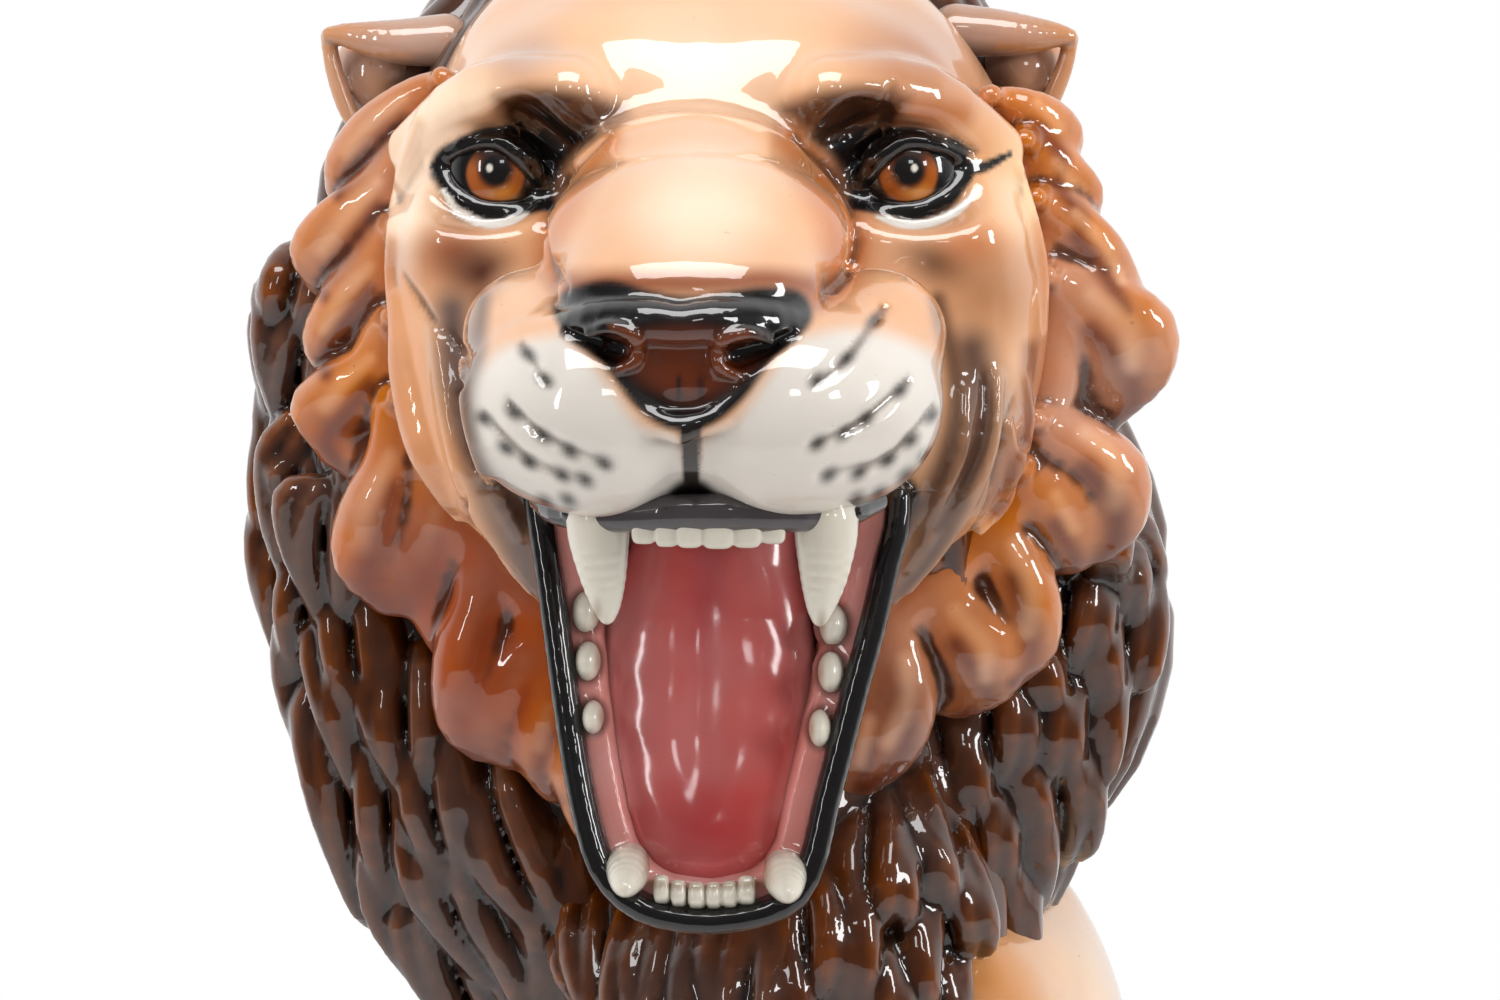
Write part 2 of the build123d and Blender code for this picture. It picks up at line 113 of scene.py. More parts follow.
def pixels(points):
    """Where the photograph shows head-frame points."""
    ray = points - CAMERA
    scale = PHOTO_FOCAL / (ray @ FORWARD)
    return np.stack((CENTRE_X + scale * (ray @ RIGHT), CENTRE_Y - scale * (ray @ UP)), 1)


def ramp(value, start, full):
    """A smooth step from 0 at start to 1 at full."""
    t = np.clip((value - start) / (full - start), 0, 1)
    return t * t * (3 - 2 * t)


def fall(reach, hard=0.0):
    """A spray's weight by its share of the radius: 1 up to hard, then down to 0 at the rim."""
    return 1 - ramp(reach, hard, 1.0)


def most(*distances):
    """The greatest of several distances, which keeps only what they all hold."""
    return functools.reduce(np.maximum, distances)


def spun(turn):
    """The matrix that turns by degrees about X, Y and Z."""
    return np.array(Euler([math.radians(a) for a in turn]).to_matrix(), np.float32)


# Clay forms: each is its lowest corner, its highest corner and a distance function


def ball(place, radii, turn=(0, 0, 0)):
    """An ellipsoid, turned by degrees about X, Y and Z."""
    place, radii = np.array(place, np.float32), np.array(radii, np.float32)
    spin = spun(turn)
    reach = np.sqrt((spin ** 2) @ (radii ** 2))

    def distance(x, y, z):
        x, y, z = x - place[0], y - place[1], z - place[2]
        near = far = 0.0
        for n in range(3):
            along = spin[0, n] * x + spin[1, n] * y + spin[2, n] * z
            near = near + (along / radii[n]) ** 2
            far = far + (along / radii[n] ** 2) ** 2
        near = np.sqrt(near)
        return near * (near - 1) / np.sqrt(far + 1e-9)

    return place - reach, place + reach, distance


def curve(knots, steps=3):
    """Points of a smooth line through knots of any width."""
    knots = np.array(knots, np.float32)
    ends = np.vstack((2 * knots[0] - knots[1], knots, 2 * knots[-1] - knots[-2]))
    line = []
    for a, b, c, d in zip(ends, ends[1:], ends[2:], ends[3:]):
        for n in range(steps):
            t = n / steps
            line.append(b + 0.5 * t * (c - a + t * (2 * a - 5 * b + 4 * c - d + t * (3 * (b - c) + d - a))))
    return np.array(line + [knots[-1]], np.float32)


def stroke(knots, steps=3):
    """A round stroke along a smooth line through (x, y, z, radius) knots."""
    line = curve(knots, steps)
    place, radius = line[:, :3], line[:, 3:]

    def distance(x, y, z):
        best = np.float32(FAR)
        for (ax, ay, az, ar), (bx, by, bz, br) in zip(line, line[1:]):
            ux, uy, uz = bx - ax, by - ay, bz - az
            size = max(ux * ux + uy * uy + uz * uz, 1e-6)
            t = np.clip(((x - ax) * ux + (y - ay) * uy + (z - az) * uz) / size, 0, 1)
            gap = np.sqrt((x - ax - t * ux) ** 2 + (y - ay - t * uy) ** 2 + (z - az - t * uz) ** 2)
            best = np.minimum(best, gap - ar - t * (br - ar))
        return best

    return (place - radius).min(0), (place + radius).max(0), distance


def seen_stroke(knots, depth):
    """A stroke at a depth through (pixel x, pixel y, radius) knots."""
    return stroke([(*seen((px, py), depth), radius) for px, py, radius in knots])


def block(place, radii, turn=(0, 0, 0)):
    """A box with well rounded edges, turned by degrees about X, Y and Z."""
    place, radii = np.array(place, np.float32), np.array(radii, np.float32)
    spin = spun(turn)
    reach = np.abs(spin) @ radii

    def distance(x, y, z):
        x, y, z = x - place[0], y - place[1], z - place[2]
        along = [spin[0, n] * x + spin[1, n] * y + spin[2, n] * z for n in range(3)]
        near = sum((way / radius) ** 4 for way, radius in zip(along, radii)) ** 0.25
        return (near - 1) * radii.min()

    return place - reach, place + reach, distance


def column(sections, turn=0.0):
    """A form lofted up through level ellipses of (height, x, y, half width, half depth), turned about Z."""
    line = curve(sections, 8)
    reach = line[:, 3:].max()
    low = (line[:, 1].min() - reach, line[:, 2].min() - reach, line[0, 0])
    high = (line[:, 1].max() + reach, line[:, 2].max() + reach, line[-1, 0])
    cos, sin = math.cos(turn), math.sin(turn)

    def distance(x, y, z):
        across, back, half_width, half_depth = (np.interp(z, line[:, 0], line[:, n]) for n in range(1, 5))
        x, y = x - across, y - back
        x, y = x * cos + y * sin, y * cos - x * sin
        near = np.hypot(x / half_width, y / half_depth)
        rim = near * (near - 1) / (np.hypot(x / half_width ** 2, y / half_depth ** 2) + 1e-6)
        return most(rim, line[0, 0] - z, z - line[-1, 0]).astype(np.float32)

    return low, high, distance


def outline_gap(corners, x, z):
    """Signed distance to a closed outline of (x, z) corners, negative inside."""
    best = np.float32(FAR ** 2)
    inside = np.zeros(np.broadcast(x, z).shape, bool)
    for (ax, az), (bx, bz) in zip(corners, np.roll(corners, -1, 0)):
        ux, uz = bx - ax, bz - az
        t = np.clip(((x - ax) * ux + (z - az) * uz) / (ux * ux + uz * uz), 0, 1)
        best = np.minimum(best, (x - ax - t * ux) ** 2 + (z - az - t * uz) ** 2)
        inside ^= ((az > z) != (bz > z)) & (x < ax + (z - az) * ux / (uz or 1e-6))
    return np.where(inside, -1, 1) * np.sqrt(best)


def soft_min(a, b, soft):
    """The nearer of two distances, with the crease between them filled over a width of soft."""
    fill = np.maximum(soft - np.abs(a - b), 0) / soft
    return np.minimum(a, b) - fill * fill * soft / 4


class Clay:
    """A lump of clay on a voxel grid, in millimetres of its frame. The field is negative inside."""

    def __init__(self, low, high, voxel):
        self.low, self.voxel = np.array(low, np.float32), voxel
        counts = np.ceil((np.array(high) - low) / voxel).astype(int) + 1
        self.axes = [self.low[n] + voxel * np.arange(counts[n], dtype=np.float32) for n in range(3)]
        self.field = np.full(counts, FAR, np.float32)

    def like(self, field):
        """Another lump on the same grid."""
        other = copy.copy(self)
        other.field = field
        return other

    def window(self, low, high, margin):
        """The part of the grid round a box, and its coordinates."""
        cut = tuple(slice(*np.searchsorted(axis, (a - margin, b + margin)))
                    for axis, a, b in zip(self.axes, low, high))
        return cut, np.ix_(*(axis[part] for axis, part in zip(self.axes, cut)))

    def grid(self):
        """Coordinates of the whole grid."""
        return np.ix_(*self.axes)

    def add(self, form, soft=4.0):
        """Presses a form on, with a filled crease."""
        low, high, distance = form
        cut, point = self.window(low, high, soft + 3 * self.voxel)
        self.field[cut] = soft_min(self.field[cut], distance(*point), soft)

    def carve(self, form, soft=4.0):
        """Cuts a form away, with a softened edge."""
        low, high, distance = form
        cut, point = self.window(low, high, soft + 3 * self.voxel)
        self.field[cut] = -soft_min(-self.field[cut], distance(*point), soft)

    def trim(self, outside, soft=1.5):
        """Keeps only what lies where a distance over the grid is negative."""
        self.field = -soft_min(-self.field, -outside, soft)

    def part(self, beyond, tuck=3.0, dive=1.0):
        """The clay up to a seam. Where beyond is positive, the surface dives under its neighbour's."""
        sink = dive * np.clip(beyond / tuck, 0, 1) ** 2
        return self.like(np.maximum(self.field + sink, beyond - tuck))

    def at(self, points):
        """The field at points between the voxels."""
        place = (points - self.low) / self.voxel
        near = np.clip(np.floor(place).astype(int), 0, np.array(self.field.shape) - 2)
        share = np.clip(place - near, 0, 1)
        total = 0.0
        for corner in np.ndindex(2, 2, 2):
            weight = np.prod(np.where(corner, share, 1 - share), axis=1)
            total = total + weight * np.clip(self.field[tuple((near + corner).T)], -20, 20)
        return total

    def shown(self, pixel):
        """The point of the surface that the photograph shows at a pixel."""
        depths = np.arange(self.axes[1][0], self.axes[1][-1], self.voxel / 2)
        ray = seen(pixel, depths)
        value = self.at(ray)
        return ray[np.argmax(value < 0) if value.min() < 0 else np.argmin(value)]

    def line_on(self, knots):
        """A stroke over the surface through (pixel x, pixel y, radius, height of its middle) knots."""
        places = [(*(self.shown((px, py)) - FORWARD * height), radius)
                  for px, py, radius, height in curve(knots, 6)]
        return stroke(places, 1)

    def surface(self):
        """Vertices and faces, and how far each vertex stands proud and which way it faces."""
        band = BAND * self.voxel
        padded = np.pad(np.clip(self.field, -band, band), 1, constant_values=band)
        volume = openvdb.FloatGrid(band)
        volume.copyFromArray(padded)
        points, faces = volume.convertToQuads(0.0)
        points = self.low + self.voxel * (points - 1)
        return points, faces[:, ::-1], self.proud(points), self.facing(points)

    def proud(self, points, step=4.5):
        """Mean curvature over a few millimetres: positive on ridges, negative in creases."""
        hops = step * np.vstack((np.eye(3), -np.eye(3)))
        return sum(self.at(points + hop) for hop in hops) / len(hops) - self.at(points)

    def facing(self, points, step=3.0):
        """Outward direction of the surface at points."""
        slope = np.stack([self.at(points + hop) - self.at(points - hop) for hop in step * np.eye(3)], 1)
        return slope / (np.linalg.norm(slope, axis=1, keepdims=True) + 1e-6)


# Meshes and underglaze


def to_head(points, frame_name):
    """Points of a frame in the head frame."""
    if frame_name == "head":
        return points
    turn = np.array(Matrix.Rotation(BODY_TURN, 3, "Z"))
    return points @ turn.T - HEAD


def srgb(red, green, blue):
    """A colour given as 8-bit screen values, as linear light."""
    value = np.array((red, green, blue), np.float32) / 255
    return np.where(value <= 0.04045, value / 12.92, ((value + 0.055) / 1.055) ** 2.4)


CREAM = srgb(246, 220, 192)
PEACH = srgb(232, 184, 146)
FAWN = srgb(222, 168, 126)
TAN = srgb(208, 146, 98)
ORANGE = srgb(190, 106, 50)
RED_BROWN = srgb(142, 70, 34)
UMBER = srgb(74, 44, 28)
NEAR_BLACK = srgb(16, 13, 13)
MAUVE = srgb(170, 144, 136)
WHITE = srgb(232, 228, 220)
# Off-white of the muzzle pads, a darker copy of WHITE: partly painted shade
SHADED_PAD_WHITE = srgb(216, 208, 198)
ROSE = srgb(184, 94, 91)
BLUSH = srgb(214, 146, 142)
GUM = srgb(204, 138, 130)
IVORY = srgb(212, 205, 190)
# Brown for real stains, and for painted shade in the teeth's creases
STAIN_AND_SHADE = srgb(140, 108, 74)
AMBER = srgb(160, 84, 28)
EMBER = srgb(84, 34, 12)
BROWN = srgb(70, 36, 18)
# Near black for painted shade in the mane
MANE_SHADE = srgb(22, 11, 6)
CLAY_BODY = srgb(214, 194, 172)


class Airbrush:
    """Colours for a piece's vertices, laid on in sprays."""

    def __init__(self, points, proud, facing, frame_name):
        self.points, self.proud, self.facing = points, proud, facing
        self.photo = pixels(to_head(points, frame_name))
        self.colour = np.ones((len(points), 3), np.float32)
        self.open = 1.0

    def stencil(self, share=1.0):
        """Covers the piece for the sprays that follow, but for an open share of every vertex."""
        self.open = share

    def lay(self, weight, colour):
        """Moves the colour towards another by a weight for every vertex."""
        weight = np.clip(weight, 0, 1) * self.open
        self.colour += weight[:, None] * (np.array(colour, np.float32) - self.colour)

    def coat(self, colour):
        """One colour all over."""
        self.lay(np.ones(len(self.points)), colour)

    def spray(self, place, radii, colour, strength=1.0, turn=(0, 0, 0), hard=0.0):
        """A soft cloud in space."""
        reach = np.linalg.norm((self.points - place) @ spun(turn) / radii, axis=1)
        self.lay(strength * fall(reach, hard), colour)

    def dab(self, pixel, radii, colour, strength=1.0, turn=0.0, hard=0.0):
        """A soft spot where the photograph shows it, laid on from the front."""
        away = self.photo - pixel
        cos, sin = math.cos(math.radians(turn)), math.sin(math.radians(turn))
        along = (away[:, 0] * cos + away[:, 1] * sin) / radii[0]
        over = (away[:, 1] * cos - away[:, 0] * sin) / radii[1]
        self.lay(strength * fall(np.hypot(along, over), hard), colour)

    def sweep(self, knots, colour, strength=1.0, hard=0.0):
        """A brush line through (pixel x, pixel y, half width) knots."""
        line = curve(knots, 5)
        best = np.full(len(self.points), FAR)
        for a, b in zip(line, line[1:]):
            way = b[:2] - a[:2]
            t = np.clip((self.photo - a[:2]) @ way / max(way @ way, 1e-6), 0, 1)
            gap = np.linalg.norm(self.photo - a[:2] - t[:, None] * way, axis=1)
            best = np.minimum(best, gap / np.maximum(a[2] + t * (b[2] - a[2]), 0.1))
        self.lay(strength * fall(best, hard), colour)

    def mask(self, corners, colour, strength=1.0, soft=6.0):
        """Colour inside a smooth closed outline of pixels, with a soft edge."""
        line = curve((*corners, corners[0]), 4)[:-1]
        gap = outline_gap(line, self.photo[:, 0], self.photo[:, 1])
        self.lay(strength * (1 - ramp(gap, -soft, soft)), colour)

    def creases(self, colour, strength=1.0, start=0.1, full=1.2):
        """Colour laid in creases, more the deeper they are: painted shade."""
        self.lay(strength * ramp(-self.proud, start, full), colour)

    def ridges(self, colour, strength=1.0, start=0.1, full=1.0):
        """Colour laid on ridges, more the prouder they stand: painted highlight."""
        self.lay(strength * ramp(self.proud, start, full), colour)

    def undersides(self, colour, strength=1.0, start=0.1, full=0.8):
        """Colour on surfaces that face down: painted shade."""
        self.lay(strength * ramp(-self.facing[:, 2], start, full), colour)


def make_piece(name, node, slot, points, faces, colours, frame_name):
    """A finished piece: its mesh in the world, its colours and what it stands for."""
    mesh = bpy.data.meshes.new(name)
    mesh.from_pydata(((to_head(points, frame_name) + HEAD) * MM).tolist(), [], faces.tolist())
    mesh.update()
    mesh.shade_smooth()
    layer = mesh.color_attributes.new("underglaze", "FLOAT_COLOR", "POINT")
    layer.data.foreach_set("color", np.insert(colours, 3, 1.0, axis=1).ravel())
    mesh.materials.append(MATERIALS[slot])
    piece = bpy.data.objects.new(name, mesh)
    bpy.context.scene.collection.objects.link(piece)
    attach(piece, "root")
    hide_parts(node)


def fire(node, slot, clay, paint, frame_name="head"):
    """Meshes a lump of clay, paints it and makes it the piece for a node."""
    points, faces, proud, facing = clay.surface()
    brush = Airbrush(points, proud, facing, frame_name)
    paint(brush)
    make_piece(f"{node}_glazed", node, slot, points, faces, brush.colour, frame_name)


# Materials

# Noise scales per metre, the specks' stain, and the gloss coat's waves
MOTTLE_SCALE, TINT_SCALE, SPECK_SCALE, WAVE_SCALE = 36.0, 17.0, 420.0, 70.0
SPECK_STAIN = (0.35, 0.2, 0.12, 1)
BASE_SPECULAR = 0.15
COAT_IOR = 1.6
WAVE_STRENGTH, WAVE_HEIGHT = 0.1, 0.0015


def noise(tree, scale, detail):
    """A noise over the object's own coordinates."""
    place = tree.nodes.new("ShaderNodeTexCoord")
    node = tree.nodes.new("ShaderNodeTexNoise")
    node.inputs["Scale"].default_value = scale
    node.inputs["Detail"].default_value = detail
    tree.links.new(place.outputs["Object"], node.inputs["Vector"])
    return node.outputs["Fac"]


def remap(tree, value, low, high, to_low, to_high):
    """A value carried from one range to another."""
    node = tree.nodes.new("ShaderNodeMapRange")
    for socket, level in zip(node.inputs[1:5], (low, high, to_low, to_high)):
        socket.default_value = level
    tree.links.new(value, node.inputs["Value"])
    return node.outputs["Result"]


def underglaze(tree, mottle, specks):
    """The airbrushed vertex colour, mottled and specked."""
    paint = tree.nodes.new("ShaderNodeVertexColor")
    paint.layer_name = "underglaze"
    tint = tree.nodes.new("ShaderNodeHueSaturation")
    value = remap(tree, noise(tree, MOTTLE_SCALE, 5.0), 0.3, 0.7, 1 - mottle, 1 + mottle)
    tree.links.new(value, tint.inputs["Value"])
    saturation = remap(tree, noise(tree, TINT_SCALE, 3.0), 0.3, 0.7, 1 - 2 * mottle, 1 + 2 * mottle)
    tree.links.new(saturation, tint.inputs["Saturation"])
    tree.links.new(paint.outputs["Color"], tint.inputs["Color"])
    speck = tree.nodes.new("ShaderNodeMix")
    speck.data_type = "RGBA"
    speck.blend_type = "MULTIPLY"
    speck.inputs["B"].default_value = SPECK_STAIN
    spots = remap(tree, noise(tree, SPECK_SCALE, 1.0), 0.77, 0.82, 0.0, specks)
    tree.links.new(spots, speck.inputs["Factor"])
    tree.links.new(tint.outputs["Color"], speck.inputs["A"])
    return speck.outputs["Result"]


def glaze(name, mottle, coat=1.0, roughness=0.34, specks=0.35, satin=0.03):
    """Airbrushed underglaze beneath a clear, slightly wavy gloss coat."""
    material = bpy.data.materials.new(name)
    material.use_nodes = True
    tree = material.node_tree
    shader = tree.nodes["Principled BSDF"]
    tree.links.new(underglaze(tree, mottle, specks), shader.inputs["Base Color"])
    shader.inputs["Roughness"].default_value = roughness
    shader.inputs["Specular IOR Level"].default_value = BASE_SPECULAR
    shader.inputs["Coat Weight"].default_value = coat
    shader.inputs["Coat Roughness"].default_value = satin
    shader.inputs["Coat IOR"].default_value = COAT_IOR
    bump = tree.nodes.new("ShaderNodeBump")
    bump.inputs["Strength"].default_value = WAVE_STRENGTH
    bump.inputs["Distance"].default_value = WAVE_HEIGHT
    tree.links.new(noise(tree, WAVE_SCALE, 2.0), bump.inputs["Height"])
    for socket in ("Coat Normal", "Normal"):
        tree.links.new(bump.outputs["Normal"], shader.inputs[socket])
    return material


FINISHES = {
    "face_glaze": {"mottle": 0.04},
    "lip_glaze": {"mottle": 0.05},
    "mane_glaze": {"mottle": 0.14},
    "ruff_glaze": {"mottle": 0.10},
    "ear_glaze": {"mottle": 0.08},
    "coat_glaze": {"mottle": 0.06},
    "eye_glaze": {"mottle": 0.03, "specks": 0.0},
    "gum_glaze": {"mottle": 0.08},
    "tongue_glaze": {"mottle": 0.07, "satin": 0.12},
    "tooth_glaze": {"mottle": 0.03},
    "bare_clay": {"mottle": 0.08, "coat": 0.0, "roughness": 0.8},
}
MATERIALS = {slot: glaze(slot, **finish) for slot, finish in FINISHES.items()}

# Head: face and lower jaw are modelled together and parted at the mouth's roof.
# The lower face leans a little to the viewer's right, as it was modelled

LEAN = 7.0
EYE_RADIUS = 20.0
MOUTH_ROOF = -107.0
BUTT_PLANE = 70.0

# Lids over the eyeball as (way in from the eye's middle, height), from the outer corner to the inner one
LID_UPPER = ((-20, 3), (-11, 10), (1, 11.5), (11, 4), (17, -9))
LID_LOWER = ((-20, 3), (-15, -6), (-5, -12), (7, -12.5), (17, -9))

# Lip rim in pixels, and the depth of its leaning plane
LIP_RIM = ((536, 498), (542, 535), (550, 588), (564, 692), (575, 766), (587, 825), (601, 868), (626, 899),
           (661, 916), (712, 922), (762, 914), (796, 896), (815, 856), (826, 806), (840, 752), (857, 686),
           (874, 624), (888, 562), (897, 530), (900, 498))
LIP_RADIUS = 4.4
LIP_TOP_DEPTH = -20.0
LIP_SLOPE = 0.2
THROAT_DEPTH = 58.0
THROAT_TAPER, TAPER_REACH = 0.05, 80.0


def lip_front(z):
    """Depth of the lip's plane at a height."""
    return LIP_TOP_DEPTH + (z - MOUTH_ROOF) * LIP_SLOPE


def lip_point(pixel):
    """The point of the lip's plane that the photograph shows at a pixel."""
    near, far = seen(pixel, LIP_TOP_DEPTH - 40), seen(pixel, LIP_TOP_DEPTH + 40)
    near_gap, far_gap = near[1] - lip_front(near[2]), far[1] - lip_front(far[2])
    return near + (far - near) * near_gap / (near_gap - far_gap)


LIP_LINE = np.array([lip_point(pixel) for pixel in LIP_RIM], np.float32)
LIP_FORM = stroke([(*point, LIP_RADIUS) for point in LIP_LINE], 2)
MOUTH_OUTLINE = np.vstack((LIP_LINE[0] + (0, 0, 30), LIP_LINE, LIP_LINE[-1] + (0, 0, 30)))[:, ::2]
MOUTH_LOW, MOUTH_HIGH = (-90, -70, -275), (100, 76, -90)


def eye_place(side):
    """Centre of an eyeball in the head frame."""
    return EYE_CENTRES[side] - HEAD


def lid(side, outline, radius, lift):
    """A lid's stroke over the eyeball, from the outer corner to the inner one."""
    centre = eye_place(side)
    reach = EYE_RADIUS + lift
    knots = []
    for n, (across, height) in enumerate(outline):
        depth = math.sqrt(max(reach ** 2 - across ** 2 - height ** 2, 36.0))
        size = radius * (0.55 if n in (0, len(outline) - 1) else 1.0)
        knots.append((centre[0] - side * across, centre[1] - depth, centre[2] + height, size))
    return stroke(knots)


def jaw_gap(x, y, z):
    """Distance to the jaw's side wall, which narrows from the lip's plane towards the throat."""
    behind = y - lip_front(z)
    return outline_gap(MOUTH_OUTLINE, x, z) + THROAT_TAPER * np.clip(behind, 0, TAPER_REACH)


def scoop():
    """The jaw's outer form, behind the lip's plane."""
    def distance(x, y, z):
        return most(jaw_gap(x, y, z), lip_front(z) - y, y - BUTT_PLANE)

    return MOUTH_LOW, MOUTH_HIGH, distance


def mouth():
    """The hollow of the open mouth, up to its roof."""
    def distance(x, y, z):
        return most(jaw_gap(x, y, z) + LIP_RADIUS, y - THROAT_DEPTH, z - MOUTH_ROOF)

    return MOUTH_LOW, MOUTH_HIGH, distance


# Edge of the face in pixels, clockwise from under the left cheek
FACE_EDGE = ((560, 640), (532, 600), (494, 556), (452, 506), (418, 440), (392, 376), (382, 320),
             (386, 240), (402, 150), (428, 60), (470, -60), (580, -140), (700, -160), (820, -140),
             (930, -60), (1006, 80), (1032, 160), (1052, 250), (1058, 330), (1050, 400), (1034, 460),
             (1000, 520), (950, 562), (904, 604), (870, 650))
FACE_EDGE_DEPTH = 36.0
SKULL = ((0, 84, -26), (130, 112, 112))
# Rolls from the cheeks down to the jaw, from one pixel to another
JOWLS = (((488, 440), (540, 610)), ((945, 440), (892, 620)))


def skull_forms(clay):
    """Skull, forehead, cheeks and palate."""
    clay.add(ball(*SKULL))
    for side in SIDES:
        lean = LEAN * (side > 0)
        clay.add(ball((side * 76 + lean, 40, -46), (46, 54, 62)), 26)
        clay.add(ball((side * 70 + lean, 26, -92), (38, 44, 44)), 24)
        clay.add(ball((side * 84, 8, -22), (28, 24, 16)), 12)
    clay.add(ball((0, -40, -76), (58, 84, 36)), 14)
    for first, last in JOWLS:
        clay.add(stroke(((*seen(first, 6), 20), (*seen(last, 4), 9))), 18)
    x, _, z = clay.grid()
    edge = curve([seen(pixel, FACE_EDGE_DEPTH)[::2] for pixel in (*FACE_EDGE, FACE_EDGE[0])], 4)[:-1]
    clay.trim(outline_gap(edge, x, z), 26)


def bridge_forms(clay):
    """Bridge of the nose and the brow pads either side of its root."""
    clay.add(ball((-3, -25, -1), (41, 40, 22)), 7)
    clay.add(ball((1, -66, -20), (50, 46, 28), (14, 0, 0)), 9)
    clay.add(ball((0, -102, -34), (42, 30, 20), (10, 0, 0)), 12)
    for side in SIDES:
        clay.add(ball((side * 42 + 2, 14, 30), (36, 26, 22), (0, side * 16, 0)), 22)
        clay.add(stroke(((side * 44, -20, 27, 12), (side * 74, -7, 25, 12), (side * 100, 18, 8, 9))), 10)
        clay.carve(ball((side * 68, -14, 0), (29, 15, 17), (0, side * 14, 0)), 8)
        clay.carve(ball((side * 56 - 3, -22, 13), (10, 12, 12)), 8)


# Nose leather: its edge down one side, and the roll across its top with radii
NOSE_EDGE = ((36, -114, -54), (26, -125, -63), (12, -130, -74), (0, -131, -78))
NOSE_EDGE_RADIUS = 4
NOSE_ROLL = ((-40, -110, -49, 6), (-28, -124, -45, 7), (-12, -132, -44, 7), (-1, -134, -45, 6.5),
             (10, -132, -44, 7), (26, -124, -45, 7), (37, -110, -48, 6))
# Nostrils, through (pixel x, pixel y, radius, height) knots: the scroll that curls round and its groove
NOSTRILS = (
    (((588, 332, 1.8, 0.2), (612, 327, 2.3, 1.2), (635, 337, 2.6, 1.6), (637, 360, 2.4, 1.6),
      (618, 370, 2.0, 1.0)),
     ((618, 349, 4.6, -1.5), (602, 344, 4.0, -0.5), (582, 338, 2.8, 0), (568, 331, 1.6, 0.5))),
    (((770, 340, 1.8, 0.2), (747, 333, 2.3, 1.2), (721, 341, 2.6, 1.6), (718, 365, 2.4, 1.6),
      (736, 376, 2.0, 1.0)),
     ((737, 355, 4.6, -1.5), (752, 350, 4.0, -0.5), (774, 343, 2.8, 0), (790, 335, 1.6, 0.5))),
)


def muzzle_forms(clay):
    """Muzzle pads, nose leather, nostrils and the groove under the nose."""
    for side in SIDES:
        lean = LEAN * (side > 0)
        clay.add(ball((side * 37 + lean, -84, -73), (38, 46, 35), (0, side * -6, 0)), 4)
        clay.add(ball((side * 26 + lean * 0.5, -106, -75), (29, 29, 32)), 12)
        clay.add(ball((side * 52 + lean, -62, -52), (24, 32, 22)), 10)
    clay.carve(stroke(((-1, -142, -78, 2.5), (0, -140, -92, 3.2), (1, -132, -110, 4))), 5)
    clay.add(ball((-1, -116, -59), (27, 17, 20)), 4)
    for side in SIDES:
        clay.add(stroke([(side * x - 1, y, z, NOSE_EDGE_RADIUS) for x, y, z in NOSE_EDGE]), 4)
    clay.add(stroke(NOSE_ROLL), 3)
    for scroll, groove in NOSTRILS:
        rim = clay.line_on(scroll)
        clay.carve(clay.line_on(groove), 1.5)
        clay.add(rim, 1.0)


# Lines cut into the face, through (pixel x, pixel y, radius, height) knots
BROW_FURROWS = (
    ((516, 110, 1.2, 0), (540, 126, 2.4, 0), (566, 146, 1.6, 0)),
    ((548, 100, 1.2, 0), (566, 120, 2.6, 0), (590, 134, 2.0, 0)),
    ((893, 86, 1.2, 0), (884, 112, 2.4, 0), (852, 130, 2.8, 0), (826, 140, 2.0, 0)),
)
LID_FOLDS = (
    ((448, 152, 0.8, 0), (470, 136, 1.4, 0), (500, 130, 1.4, 0), (530, 146, 1.2, 0)),
    ((976, 152, 0.8, 0), (942, 136, 1.4, 0), (905, 130, 1.4, 0), (876, 146, 1.2, 0)),
)
WHISKER_ROWS = (
    ((520, 342, 1.4, 0.6), (548, 385, 1.2, 0.8)),
    ((508, 404, 1.8, 0.8), (543, 436, 2.0, 0.9), (610, 466, 1.4, 1.0)),
    ((482, 415, 1.6, 0.8), (529, 462, 2.0, 0.9), (590, 482, 1.4, 1.0)),
    ((884, 306, 1.8, 0.6), (847, 358, 2.0, 0.8), (815, 384, 1.4, 1.0)),
    ((910, 380, 1.8, 0.6), (866, 419, 2.0, 0.8), (812, 446, 1.4, 1.0)),
    ((936, 408, 1.6, 0.6), (888, 460, 2.0, 0.8), (822, 478, 1.4, 1.0)),
)
# Strands that stand proud on the cheeks
CHEEK_STRANDS = (
    ((420, 120, 2, -0.6), (402, 190, 3.5, -1), (394, 262, 3.5, -1), (396, 330, 2.5, -1)),
    ((398, 300, 3, -2), (408, 370, 7, -3.5), (426, 440, 8, -3.5), (446, 490, 5, -2.5), (458, 516, 2, -1)),
    ((438, 330, 3, -1.5), (450, 400, 5, -2), (470, 480, 5.5, -2), (504, 550, 4, -2), (532, 592, 2, -1)),
    ((464, 360, 2, -1), (472, 420, 3.5, -1), (494, 486, 3.5, -1), (520, 534, 2.5, -1)),
    ((1018, 170, 2, -0.6), (1030, 220, 3.2, -1), (1040, 270, 3.2, -1), (1042, 330, 2, -0.8)),
    ((964, 390, 2, -0.8), (960, 450, 3.2, -0.8), (936, 520, 3.2, -0.8), (908, 566, 2, -0.8)),
    ((996, 380, 2.4, -0.8), (988, 440, 4, -1), (968, 496, 4, -1), (940, 546, 3, -1), (908, 588, 2, -0.8)),
    ((1006, 420, 2, -0.6), (1010, 460, 3.2, -0.8), (1004, 500, 3, -0.8), (980, 530, 2, -0.6)),
    ((1024, 380, 2, -0.8), (1026, 420, 3.2, -1), (1016, 466, 3, -1), (996, 506, 2, -0.8)),
)
